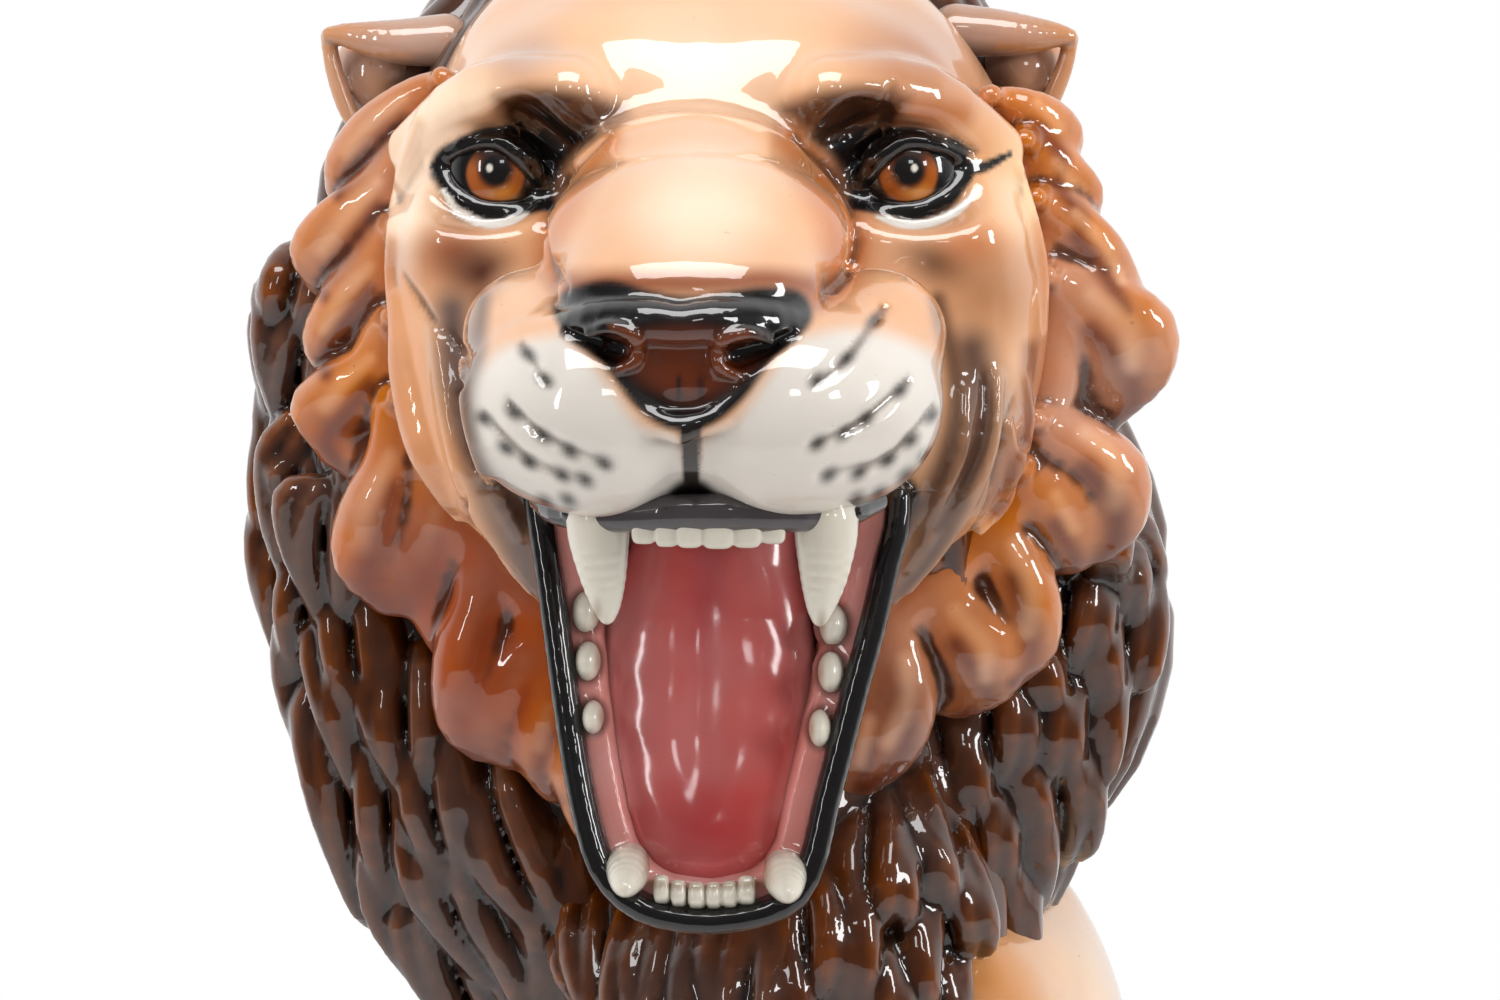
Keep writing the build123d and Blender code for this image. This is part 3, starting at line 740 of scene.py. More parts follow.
# Creases beside the bridge and along the cheeks
FACE_CREASES = (
    ((602, 140, 1.2, 0.4), (566, 178, 1.8, 0.4), (546, 216, 2.0, 0.4), (548, 258, 2.0, 0.4),
     (566, 288, 1.4, 0.4)),
    ((798, 140, 1.2, 0.4), (836, 178, 1.8, 0.4), (856, 216, 2.0, 0.4), (854, 260, 2.0, 0.4),
     (832, 292, 1.4, 0.4)),
    ((404, 276, 0.8, 0.3), (422, 304, 1.6, 0.3), (442, 334, 0.8, 0.3)),
    ((452, 330, 0.8, 0.2), (464, 358, 1.6, 0.2), (458, 400, 1.4, 0.2), (466, 444, 1.6, 0.2),
     (484, 488, 0.8, 0.2)),
    ((456, 480, 1.2, 0.2), (478, 540, 2.2, 0.2), (506, 570, 2.0, 0.2), (534, 602, 1.2, 0.2)),
    ((984, 372, 1.2, 0.2), (986, 414, 2.4, 0.2), (974, 462, 2.4, 0.2), (938, 528, 1.4, 0.2)),
    ((1014, 398, 0.8, 0.2), (1000, 450, 1.8, 0.2), (990, 500, 1.8, 0.2), (962, 544, 1.0, 0.2)),
)


def head_clay():
    """Face, cheeks and jaw as one lump."""
    clay = Clay((-140, -152, -276), (146, 76, 108), FACE_VOXEL)
    skull_forms(clay)
    bridge_forms(clay)
    muzzle_forms(clay)
    for side in SIDES:
        clay.add(lid(side, LID_UPPER, 4.2, 1.0), 4)
        clay.add(lid(side, LID_LOWER, 3.6, 0.5), 4)
    for knots in CHEEK_STRANDS:
        clay.add(clay.line_on(knots), 3)
    for knots in (*BROW_FURROWS, *LID_FOLDS, *WHISKER_ROWS, *FACE_CREASES):
        clay.carve(clay.line_on(knots), 2.5)
    clay.add(scoop(), 5)
    clay.carve(mouth(), 2)
    clay.add(LIP_FORM, 3)
    y = clay.grid()[1]
    clay.trim(y - BUTT_PLANE, 3)
    return clay


# Sprays on the face, as (pixel, radii in pixels, colour, strength, turn)
FACE_DABS = (
    ((700, 30), (300, 150), PEACH, 0.9, 0),
    ((690, 60), (200, 85), CREAM, 0.4, 0),
    ((520, 60), (72, 42), MAUVE, 0.6, -35),
    ((920, 60), (124, 88), srgb(172, 108, 66), 0.9, 20),
    # The next three dabs pale the temples and the forehead's sides: painted highlight
    ((430, 110), (80, 120), CREAM, 0.75, 15),
    ((404, 210), (44, 90), CREAM, 0.85, 5),
    ((1030, 190), (54, 90), srgb(248, 210, 166), 0.9, -10),
    ((700, 200), (140, 115), PEACH, 0.9, 0),
    ((700, 205), (100, 88), CREAM, 0.85, 0),
    ((446, 268), (84, 58), srgb(180, 114, 76), 0.6, 10),
    ((984, 262), (84, 48), srgb(194, 124, 76), 0.55, 0),
    ((452, 250), (50, 38), RED_BROWN, 0.8, 10),
    ((482, 272), (56, 42), srgb(88, 50, 36), 1.0, 0),
    ((938, 264), (54, 32), UMBER, 0.75, 20),
    ((972, 244), (50, 34), ORANGE, 0.7, 0),
    ((992, 300), (84, 72), srgb(176, 118, 72), 0.95, 0),
    ((520, 290), (44, 40), PEACH, 0.8, 0),
    # Pale over the viewer's left eye: painted highlight
    ((470, 98), (60, 32), CREAM, 0.6, -20),
)
# Brush lines on the face, as (knots with half widths, colour, strength)
FACE_SWEEPS = (
    (((384, 250, 26), (384, 340, 34), (420, 450, 34), (470, 540, 26)), ORANGE, 0.7),
    (((1050, 230, 30), (1066, 330, 44), (1046, 420, 44), (1000, 510, 36)), ORANGE, 0.8),
    (((452, 310, 34), (464, 410, 48), (506, 500, 46), (536, 600, 34)), srgb(104, 84, 76), 1.0),
    (((402, 300, 18), (416, 400, 30), (446, 480, 24), (460, 514, 10)), srgb(216, 148, 96), 0.95),
    (((972, 350, 38), (980, 430, 56), (940, 530, 50), (895, 610, 36)), srgb(98, 70, 56), 1.0),
    (((1034, 350, 20), (1030, 430, 26), (1000, 510, 22)), srgb(120, 62, 34), 0.85),
    (((482, 300, 16), (474, 400, 20), (492, 480, 20), (528, 525, 22)), UMBER, 0.8),
    (((938, 300, 16), (958, 400, 20), (938, 480, 20), (902, 525, 22)), UMBER, 0.8),
    (((612, 140, 22), (562, 210, 30), (548, 262, 28), (572, 292, 18)), ORANGE, 0.7),
    (((790, 140, 30), (842, 215, 46), (842, 270, 40), (815, 300, 24)), ORANGE, 0.9),
    (((575, 286, 26), (640, 282, 22), (700, 282, 22), (770, 280, 22), (812, 286, 24)), RED_BROWN, 0.9),
    (((960, 112, 26), (905, 112, 30), (868, 118, 28)), srgb(176, 104, 56), 0.85),
    (((434, 176, 8), (450, 170, 15), (470, 168, 20)), NEAR_BLACK, 0.6),
)
# Outlines in pixels: the dark wedge under the viewer's left brow, its black middle, and both muzzle pads
BROW_WEDGE = ((496, 98), (528, 88), (560, 88), (600, 96), (624, 108), (612, 122), (584, 142), (566, 162),
              (550, 194), (540, 204), (528, 186), (522, 158), (506, 130))
BROW_BLACK = ((512, 116), (545, 110), (570, 126), (594, 136), (576, 150), (560, 172), (548, 198),
              (536, 190), (528, 160))
PADS = {
    -1: ((562, 334), (600, 372), (640, 424), (680, 440), (686, 500), (640, 514), (580, 520), (530, 508),
         (490, 470), (474, 424), (478, 376), (506, 346)),
    1: ((804, 336), (770, 374), (736, 420), (702, 440), (696, 500), (744, 514), (800, 524), (862, 518),
        (920, 494), (948, 452), (958, 408), (946, 366), (900, 338), (850, 328)),
}
LID_SWEEPS = (
    ((432, 166, 4), (456, 156, 9), (490, 138, 11), (522, 150, 12), (540, 178, 12), (548, 205, 9)),
    ((440, 172, 5), (462, 202, 11), (493, 214, 11), (526, 208, 10), (548, 203, 9)),
    ((1010, 154, 4), (978, 168, 9), (950, 158, 12), (924, 140, 11), (892, 144, 12), (866, 170, 12),
     (855, 200, 9)),
    ((968, 176, 8), (944, 202, 11), (913, 214, 11), (882, 208, 10), (856, 204, 9)),
)
LID_WHITES = (
    ((443, 190, 3), (458, 211, 6), (486, 224, 6), (512, 221, 5), (526, 214, 3)),
    ((980, 188, 3), (958, 210, 6), (930, 223, 6), (902, 224, 6), (878, 217, 3)),
)
# Nose leather in pixels, clockwise from its left end, and the rust panel on its front
NOSE_OUTLINE = ((552, 312), (560, 294), (585, 283), (615, 280), (652, 291), (690, 297), (730, 291),
                (765, 287), (800, 291), (813, 312), (806, 330), (786, 348), (768, 366), (745, 398),
                (718, 422), (690, 432), (660, 426), (632, 404), (607, 370), (584, 347), (562, 330))
NOSE_PANEL = ((608, 340), (650, 331), (690, 328), (730, 333), (766, 342), (750, 368), (726, 388),
              (690, 402), (652, 388), (626, 366))
# Depths over which the muzzle's paint fades out, and the black line down to the lip
MUZZLE_BACK = (-40.0, -26.0)
PHILTRUM = ((690, 424, 15), (691, 455, 12), (691, 486, 13), (692, 506, 34))
WHISKER_SPOTS = ((514, 413), (543, 436), (570, 451), (604, 463), (484, 419), (506, 448), (529, 462),
                 (562, 475), (585, 480), (545, 502), (568, 500), (874, 321), (847, 358), (817, 380),
                 (900, 391), (866, 419), (844, 433), (818, 443), (932, 416), (911, 440), (888, 460),
                 (859, 473), (829, 475), (927, 455), (906, 475), (879, 494), (856, 499), (528, 354),
                 (545, 380))


def flipped(outline, side):
    """An outline of the viewer's left half of the face, mirrored for the right side."""
    return outline if side < 0 else [(2 * PHOTO_EYES[0] - px, py) for px, py in outline]


def paint_nose(brush):
    """Black leather with a rust panel in front, black nostril grooves as painted shade, and black down the
    groove below.
    """
    brush.mask(NOSE_OUTLINE, NEAR_BLACK, 1.0, 5)
    brush.sweep(PHILTRUM, NEAR_BLACK, 0.97, hard=0.6)
    brush.mask(NOSE_PANEL, srgb(98, 42, 16), 0.95, 12)
    for scroll, groove in NOSTRILS:
        # Black in the nostril grooves: painted shade
        brush.sweep([(px, py, 12) for px, py, *_ in groove], NEAR_BLACK, 1.0, hard=0.4)
        brush.sweep([(px, py, 7) for px, py, *_ in scroll[1:]], srgb(112, 54, 26), 0.8)
    for px in (679, 701):
        brush.sweep(((px, 378, 5), (px, 398, 5)), NEAR_BLACK, 0.9)


def paint_lids(brush):
    """Black lids and eye corners, with a white line under the lower lid."""
    for side in SIDES:
        brush.spray(eye_place(side), (25.5, 25.5, 25.5), NEAR_BLACK, 1.0, hard=0.93)
    for knots in LID_SWEEPS:
        brush.sweep(knots, NEAR_BLACK, 1.0, hard=0.4)
    for knots in LID_WHITES:
        brush.sweep(knots, WHITE, 1.0, hard=0.4)


def paint_head(brush):
    """Airbrushed face, nose, pads, lids and lips."""
    brush.coat(FAWN)
    brush.spray((0, 30, -220), (140, 120, 110), RED_BROWN, 0.8)
    brush.stencil(ramp(-brush.facing @ FORWARD, 0.0, 0.4))
    for pixel, radii, colour, strength, turn in FACE_DABS:
        brush.dab(pixel, radii, colour, strength, turn)
    for knots, colour, strength in FACE_SWEEPS:
        brush.sweep(knots, colour, strength)
    brush.stencil()
    brush.spray((4, 20, -196), (110, 80, 84), srgb(150, 84, 46), 0.8, hard=0.4)
    # Tan on the ridges, to bring out the strands' relief: painted highlight
    brush.ridges(TAN, 0.25, 0.35, 1.3)
    muzzle = 1 - ramp(brush.points[:, 1], *MUZZLE_BACK)
    for side in SIDES:
        brush.mask(flipped(BROW_WEDGE, side), UMBER, 1.0, 13)
        brush.mask(flipped(BROW_BLACK, side), NEAR_BLACK, 1.0, 9)
        brush.stencil(muzzle)
        # Off-white muzzle pads, darkened as painted shade
        brush.mask(PADS[side], SHADED_PAD_WHITE, 1.0, 12)
        brush.stencil()
    # Umber in the creases: painted shade
    brush.creases(UMBER, 0.75, 0.12, 1.1)
    paint_lids(brush)
    paint_nose(brush)
    brush.stencil(muzzle)
    for px, py in WHISKER_SPOTS:
        slope = 38 if px < PHOTO_EYES[0] else -42
        brush.dab((px, py), (18, 12), NEAR_BLACK, 0.9, slope)
    brush.stencil()
    lip_distance = LIP_FORM[2]
    brush.lay(1 - ramp(lip_distance(*brush.points.T), 1.5, 4.0), NEAR_BLACK)


# Middle of an iris in pixels, outwards and down from the point midway between the eyes
IRIS_OUT, IRIS_DROP = 206.5, 2


def paint_eye(brush, side):
    """Amber iris, dark under the upper lid as painted shade, with a soft black pupil and a white dot as a
    painted highlight.
    """
    across, height = PHOTO_EYES[0] + side * IRIS_OUT, PHOTO_EYES[1] + IRIS_DROP
    brush.coat(NEAR_BLACK)
    brush.dab((across, height), (31, 31), AMBER, 1.0, hard=0.86)
    brush.dab((across + 8, height + 18), (24, 16), srgb(206, 136, 48), 0.8)
    # Dark under the upper lid: painted shade
    brush.dab((across, height - 24), (44, 26), NEAR_BLACK, 0.95, hard=0.2)
    brush.dab((across, height - 2), (23, 23), EMBER, 0.9, hard=0.5)
    brush.dab((across, height - 4), (20, 20), NEAR_BLACK, 1.0, hard=0.6)
    # White dot: painted highlight
    brush.dab((across + side * 6, height - 6), (4, 5), WHITE, 1.0, hard=0.6)


def eyeball(side):
    """A painted eyeball."""
    centre = eye_place(side)
    clay = Clay(centre - EYE_RADIUS - 3, centre + EYE_RADIUS + 3, EYE_VOXEL)
    clay.add(ball(centre, (EYE_RADIUS, EYE_RADIUS, EYE_RADIUS)))
    fire(f"eye_{SIDE_NAMES[side]}", "eye_glaze", clay, lambda brush: paint_eye(brush, side))


def fire_head():
    """Parts the head at the mouth's roof into face and jaw."""
    clay = head_clay()
    below = MOUTH_ROOF - clay.grid()[2]
    fire("head_shell", "face_glaze", clay.part(below), paint_head)
    fire("lower_jaw", "lip_glaze", clay.part(-below), paint_head)
    for side in SIDES:
        eyeball(side)


# Mouth: gums, tongue and teeth

TONGUE_RIM = ((640, 500), (626, 560), (606, 619), (600, 667), (603, 721), (612, 766), (624, 815),
              (642, 851), (667, 872), (706, 881), (742, 875), (775, 851), (792, 815), (805, 757),
              (813, 706), (816, 655), (811, 619), (796, 560), (780, 500))
TONGUE_DEPTHS = ((-245, -33), (-225, -28), (-190, -19), (-150, -10), (-105, 4))
TONGUE_CENTRE = 705
TONGUE_SWELL = 15.0
TONGUE_EDGE = 26.0
TONGUE_BACK = 44.0
# Groove along the tongue: its depth, half width and the heights over which it fades in
GROOVE_DEPTH, GROOVE_WIDTH, GROOVE_FADE = 2.2, 7, (-222, -185)
RIPPLE_HEIGHT = 0.15

# Teeth in pixels: (middle x, middle y, half width, half height)
UPPER_INCISORS = ((644, 528, 12.5, 16), (667, 530, 12, 17), (690, 531, 13.5, 17), (718, 532, 16, 17),
                  (747, 531, 15, 17), (773, 528, 13, 16))
LOWER_INCISORS = ((662, 890, 8.5, 14), (679, 894, 8, 13), (697, 896, 8.8, 13), (714, 896, 8, 13),
                  (730, 895, 8, 13), (747, 891, 9, 14))
LOWER_CANINES = {-1: (628, 870, 22, 27), 1: (785, 876, 22, 27)}
MOLARS = {-1: ((586, 612, 14, 22), (588, 661, 13, 20), (593, 717, 11, 17)),
          1: ((834, 625, 15, 22), (831, 672, 13.5, 21), (820, 728, 11.5, 19))}
# Upper canines as (pixel x, pixel y, radius) from the collar to the tip
UPPER_CANINES = {-1: ((598, 520, 10.4), (599, 540, 9.8), (603, 575, 7.6), (606, 602, 5), (607, 616, 2.8)),
                 1: ((826, 520, 10.6), (826, 540, 10), (824, 575, 7.8), (821, 603, 5), (820, 618, 2.8))}
CANINE_DEPTH = -97.0
# A lower canine from root to tip: (pixels out, pixels down, depth, radius)
CANINE_KNOTS = ((0, -6, -40, 7.4), (0, 2, -51, 7.2), (2, 12, -60, 5.2), (3, 18, -65, 3.0))
# Depths: the upper front teeth bow forward, and each molar stands further forward than the one above
INCISOR_DEPTH, INCISOR_BOW = -106, 5
LOWER_DEPTH, LOWER_TILT = -48, (-20, 0, 0)
MOLAR_DEPTH, MOLAR_STEP = -22.0, 6
# The dark lip strip under the pads, with radii, and a gum collar round each upper canine's root in pixels
LIP_STRIP = ((-50, -70, -106, 4), (-42, -88, -108, 5), (-26, -103, -108, 5.5), (3, -112, -106, 6),
             (35, -106, -107, 6), (50, -88, -108, 5), (60, -70, -106, 4))
CANINE_COLLAR = ((-32, -8, 1.8), (0, 4, 3.4), (32, -8, 1.8))


def tooth_form(form, tooth, depth, thickness, turn=(0, 0, 0)):
    """A ball or block whose outline the photograph shows."""
    px, py, half_width, half_height = tooth
    scale = (depth - CAMERA[1]) / PHOTO_FOCAL
    return form(seen((px, py), depth), (half_width * scale, thickness, half_height * scale), turn)


def molar_places():
    """Each molar with its depth on the sloping gum."""
    return [(side, tooth, MOLAR_DEPTH - MOLAR_STEP * n)
            for side in SIDES for n, tooth in enumerate(MOLARS[side])]


def gum_clay():
    """The bed of the lower jaw: a trough inside the lip, with a mound round every tooth."""
    clay = Clay((-78, -56, -264), (88, 66, -98), MOUTH_VOXEL)
    x, y, z = clay.grid()
    wall = jaw_gap(x, y, z) + LIP_RADIUS - 1.0
    front = lip_front(z) + 3 + 44 * ramp(-wall, 8, 19)
    clay.field = most(wall, front - y, y - THROAT_DEPTH - 2, z - MOUTH_ROOF).astype(np.float32)
    for _, tooth, depth in molar_places():
        px, py, half_width, half_height = tooth
        clay.add(tooth_form(ball, (px, py, half_width + 6, half_height + 6), depth + 7, 9), 4)
    for side in SIDES:
        px, py, half_width, half_height = LOWER_CANINES[side]
        clay.add(tooth_form(ball, (px, py, half_width + 3, half_height), -36, 12), 5)
    clay.trim(wall, 1)
    return clay


def paint_gum(brush):
    """Pink bed, dark towards the lip and stained round the teeth, with painted shade in its creases and
    painted highlights on its ridges.
    """
    brush.coat(GUM)
    brush.sweep([(*pixel, 14) for pixel in LIP_RIM], NEAR_BLACK, 0.95, hard=0.6)
    # Red-brown in the creases: painted shade; blush on the ridges: painted highlight
    brush.creases(RED_BROWN, 0.6, 0.2, 1.5)
    brush.ridges(BLUSH, 0.5, 0.3, 1.2)
    brush.sweep(((650, 884, 8), (700, 890, 8), (758, 884, 8)), STAIN_AND_SHADE, 0.6)
    for side in SIDES:
        for px, py, half_width, half_height in MOLARS[side]:
            brush.dab((px, py), (half_width + 9, half_height + 9), srgb(84, 44, 34), 0.85, hard=0.6)


def tongue_clay():
    """The tongue: its outline swells into a cushion with a groove along the middle."""
    rim = np.array([seen(pixel, -10) for pixel in TONGUE_RIM], np.float32)[:, ::2]
    middle = seen((TONGUE_CENTRE, 700), 0)[0]
    clay = Clay((-60, -56, -258), (68, 50, -98), MOUTH_VOXEL)
    x, y, z = clay.grid()
    gap = outline_gap(curve(np.vstack((rim, rim[:1])), 4)[:-1], x, z)
    heights, depths = zip(*TONGUE_DEPTHS)
    swell = TONGUE_SWELL * np.sqrt(1 - (1 - np.clip(-gap / TONGUE_EDGE, 0, 1)) ** 2)
    groove = GROOVE_DEPTH * np.exp(-((x - middle) / GROOVE_WIDTH) ** 2) * ramp(z, *GROOVE_FADE)
    ripple = np.sin(0.3 * z + 1.6 * np.sin(0.11 * x + 0.02 * z)) * np.sin(0.17 * x + 0.05 * z)
    front = np.interp(z, heights, depths) - swell + groove + RIPPLE_HEIGHT * ripple
    clay.field = most(gap, front - y, y - TONGUE_BACK).astype(np.float32)
    return clay


def paint_tongue(brush):
    """Rose, deeper along the middle and at the tip's rim."""
    brush.coat(ROSE)
    brush.dab((705, 600), (34, 120), srgb(160, 74, 78), 0.6)
    brush.dab((700, 830), (90, 80), srgb(158, 48, 52), 0.8)
    brush.sweep(((612, 600, 16), (606, 700, 18), (625, 800, 22)), BLUSH, 0.6)
    brush.sweep(((806, 620, 16), (806, 720, 18), (786, 810, 22)), BLUSH, 0.6)
    brush.dab((705, 868), (80, 16), srgb(196, 84, 88), 0.6)
    brush.dab((690, 530), (130, 30), srgb(120, 48, 52), 0.4)


def upper_gum_clay():
    """The dark lip strip under the pads and the gum behind it."""
    clay = Clay((-66, -130, -126), (76, -36, -98), MOUTH_VOXEL)
    clay.add(stroke(LIP_STRIP), 3)
    clay.add(ball((4, -74, -107), (46, 36, 5)), 4)
    for side in SIDES:
        px, py, _ = UPPER_CANINES[side][0]
        collar = [(px + across, py + drop, radius) for across, drop, radius in CANINE_COLLAR]
        clay.add(seen_stroke(collar, CANINE_DEPTH - 2), 2)
    return clay


def paint_upper_gum(brush):
    """Grey lip, black towards the corners, rose behind the teeth, and black in the creases as painted shade.
    """
    brush.coat(NEAR_BLACK)
    brush.spray((4, -116, -106), (62, 40, 26), srgb(66, 60, 62), 1.0, hard=0.5)
    brush.spray((4, -70, -114), (40, 30, 14), ROSE, 0.9)
    # Black in the creases: painted shade
    brush.creases(NEAR_BLACK, 0.7)


def tooth_piece(node, forms):
    """One node of teeth: ivory, stained at the root."""
    lows, highs, _ = zip(*forms)
    clay = Clay(np.min(lows, 0) - 2, np.max(highs, 0) + 2, TOOTH_VOXEL)
    for form in forms:
        clay.add(form, 0.6)
    fire(node, "tooth_glaze", clay, paint_tooth)


def paint_tooth(brush):
    """Ivory, brownish in the creases as painted shade, and stained round the roots of the lower teeth."""
    brush.coat(IVORY)
    # Brownish in the creases: painted shade
    brush.creases(STAIN_AND_SHADE, 0.8, 0.05, 0.8)
    brush.sweep(((652, 884, 8), (700, 887, 7), (758, 884, 8)), STAIN_AND_SHADE, 0.6)
    for side in SIDES:
        px, py, half_width, _ = LOWER_CANINES[side]
        brush.dab((px - side * half_width, py - 4), (14, 30), STAIN_AND_SHADE, 0.7)
        for px, py, half_width, half_height in MOLARS[side]:
            brush.dab((px - side * 0.8 * half_width, py), (8, half_height), STAIN_AND_SHADE, 0.6)


def fire_teeth():
    """All the teeth."""
    turns = math.pi * (np.arange(len(UPPER_INCISORS)) + 0.5) / len(UPPER_INCISORS)
    tooth_piece("upper_incisors", [tooth_form(block, tooth, INCISOR_DEPTH - INCISOR_BOW * math.sin(turn), 4.5)
                                   for tooth, turn in zip(UPPER_INCISORS, turns)])
    tooth_piece("lower_incisors", [tooth_form(block, tooth, LOWER_DEPTH, 7, LOWER_TILT)
                                   for tooth in LOWER_INCISORS])
    for side in SIDES:
        name = SIDE_NAMES[side]
        tooth_piece(f"upper_canine_{name}", [seen_stroke(UPPER_CANINES[side], CANINE_DEPTH)])
        px, py, _, _ = LOWER_CANINES[side]
        knots = [(*seen((px + side * way, py + drop), depth), radius)
                 for way, drop, depth, radius in CANINE_KNOTS]
        tooth_piece(f"lower_canine_{name}", [stroke(knots)])
        tooth_piece(f"molars_{name}", [tooth_form(ball, tooth, depth, 9)
                                       for where, tooth, depth in molar_places() if where == side])


def fire_mouth():
    """Gums, tongue and teeth."""
    fire("lower_gum", "gum_glaze", gum_clay(), paint_gum)
    fire("upper_gum", "gum_glaze", upper_gum_clay(), paint_upper_gum)
    fire("tongue", "tongue_glaze", tongue_clay(), paint_tongue)
    fire_teeth()


# Ears, ruffs and mane

EAR_DEPTH = 92.0
# Ears in pixels with radii: the roll from root to tip, the hanging edge, and the membrane between them
EARS = {
    -1: {"roll": ((446, 40, 9.5), (408, 42, 8.5), (372, 39, 6.5), (344, 35, 4.2), (329, 34, 2.6)),
         "edge": ((328, 37, 2.8), (334, 70, 3.2), (345, 104, 3.4), (358, 130, 3)),
         "web": (378, 76, 46, 48)},
    1: {"roll": ((956, 30, 9.5), (998, 33, 8.5), (1034, 35, 6.5), (1058, 35, 4.2), (1070, 36, 2.6)),
        "edge": ((1071, 39, 2.8), (1064, 68, 3.2), (1052, 98, 3.4), (1040, 122, 3)),
        "web": (1024, 72, 44, 44)},
}


def ear(side):
    """An ear laid sideways: a roll on top, an edge that hangs from its tip and a hollow between them."""
    lines = EARS[side]
    low, high = sorted((side * 60, side * 156))
    clay = Clay((low, 50, -14), (high, 134, 78), FACE_VOXEL)
    clay.add(tooth_form(ball, lines["web"], EAR_DEPTH + 15, 14), 4)
    for name, depth in (("roll", EAR_DEPTH - 4), ("edge", EAR_DEPTH)):
        clay.add(seen_stroke(lines[name], depth), 3)
    fire(f"ear_{SIDE_NAMES[side]}", "ear_glaze", clay, lambda brush: paint_ear(brush, side))


def paint_ear(brush, side):
    """Grey-brown with a tan fold, painted shade underneath and in a brown hollow that darkens towards the
    head, and painted highlights on the ridges.
    """
    brush.coat(srgb(190, 154, 136))
    # Umber on the undersides: painted shade
    brush.undersides(UMBER, 0.5, 0.3, 0.9)
    px, py, wide, tall = EARS[side]["web"]
    brush.dab((px, py + 6), (wide, 0.8 * tall), srgb(200, 150, 118), 0.9)
    # Brown hollow, darker towards the head: painted shade
    brush.dab((px - side * 26, py + 20), (34, 40), UMBER, 0.9)
    brush.sweep([(px, py + 14, 7) for px, py, _ in EARS[side]["roll"][1:]], TAN, 0.6)
    # Tan on the ridges: painted highlight
    brush.ridges(TAN, 0.5, 0.2, 1.0)


def lock(clay, knots, out, strands=3, spread=0.62, slim=0.6, soft=2.0, twist=0.3):
    """A lock through (x, y, z, radius) knots: twisted strands side by side, the middle one longest."""
    knots, out = np.array(knots, np.float32), np.array(out, np.float32)
    side = np.cross(knots[-1, :3] - knots[0, :3], out)
    side /= np.linalg.norm(side)
    for n in range(strands):
        off = n - (strands - 1) / 2
        line = knots.copy()
        weave = off * spread + twist * np.sin(3.4 * np.linspace(0, 1, len(knots)) + 1.9 * n)
        line[:, :3] += knots[:, 3:] * (weave[:, None] * side - abs(off) * 0.22 * out)
        line[-1] += 0.22 * abs(off) * (line[-2] - line[-1])
        line[:, 3] *= slim
        clay.add(stroke(line), soft)


# Ruff locks in pixels with radii, from the root at the cheek to the tip
RUFF_LOCKS = {
    -1: (
        ((436, 84, 3), (404, 104, 6), (372, 130, 8), (346, 160, 7.5), (338, 186, 4)),
        ((404, 150, 4), (378, 190, 7), (346, 226, 9.5), (322, 258, 9), (324, 284, 5)),
        ((392, 236, 4), (370, 274, 7), (344, 304, 9), (324, 336, 8.5), (326, 362, 5)),
        ((386, 326, 4), (370, 366, 7), (344, 392, 9.5), (326, 416, 9.5), (342, 456, 6)),
        ((398, 410, 5), (392, 466, 9), (372, 516, 13), (364, 556, 13.5), (388, 596, 8)),
        ((430, 470, 4), (436, 520, 8), (424, 566, 10), (412, 592, 7)),
        ((486, 548, 5), (482, 606, 9), (464, 662, 11.5), (462, 714, 11), (480, 744, 7)),
        ((538, 618, 5), (522, 670, 9), (506, 722, 10), (516, 754, 6)),
        ((562, 664, 4), (548, 716, 7.5), (540, 754, 8), (558, 790, 5)),
        ((572, 720, 3), (574, 770, 6), (584, 812, 5), (594, 846, 2.5)),
    ),
    1: (
        ((1000, 98, 3), (1038, 110, 6.5), (1060, 134, 7.5), (1062, 160, 4.5)),
        ((1030, 146, 4), (1056, 168, 6), (1080, 196, 7), (1086, 216, 4)),
        ((1044, 202, 4), (1076, 220, 6.5), (1102, 250, 8), (1122, 286, 6), (1128, 302, 3.5)),
        ((1054, 282, 5), (1092, 306, 10), (1128, 338, 13), (1132, 376, 12), (1114, 406, 7)),
        ((1046, 424, 5), (1086, 444, 10), (1116, 474, 12.5), (1114, 514, 11.5), (1098, 546, 7)),
        ((1024, 474, 4), (1056, 504, 8), (1074, 536, 8), (1076, 560, 4)),
        ((984, 524, 5), (1014, 556, 9.5), (1030, 598, 11.5), (1028, 640, 10.5), (1014, 668, 6)),
        ((934, 574, 5), (956, 620, 9.5), (984, 656, 11), (986, 686, 9), (960, 704, 5)),
        ((890, 620, 5), (906, 670, 10), (906, 714, 11), (888, 752, 9), (866, 776, 4)),
        ((858, 670, 4), (868, 730, 8.5), (860, 770, 7.5), (846, 798, 3)),
    ),
}
# The roll that the locks lie on and the roll along the cheek's edge, in pixels with radii
RUFF_BAND = {
    -1: ((420, 104, 6), (388, 150, 9), (364, 215, 11), (360, 295, 11), (360, 376, 12), (386, 476, 14),
         (442, 590, 15), (500, 684, 13), (552, 770, 8)),
    1: ((1012, 110, 5), (1036, 150, 8), (1058, 210, 10), (1074, 290, 13), (1074, 380, 14), (1070, 450, 14),
        (1038, 530, 14), (978, 610, 14), (908, 690, 13), (860, 760, 8)),
}
RUFF_ROOTS = {
    -1: ((428, 90, 4), (402, 150, 7), (388, 240, 8), (384, 330, 8), (396, 390, 9), (426, 456, 9),
         (462, 520, 9), (504, 572, 9), (540, 620, 8), (566, 680, 6)),
    1: ((1008, 104, 4), (1032, 160, 7), (1052, 250, 8), (1058, 330, 9), (1050, 400, 9), (1032, 464, 9),
        (996, 526, 9), (948, 572, 9), (900, 620, 8), (866, 672, 6)),
}
RUFF_BAND_DEPTH = 60.0
RUFF_EDGE_DEPTH = 43.0
# Depths of a lock at shares of its length, and how much deeper all but the upper six are rooted
RUFF_CREST = ((0, 0.25, 0.6, 1), (26, 36, 42, 58))
RUFF_TUCK, RUFF_UPPER = 22.0, 6


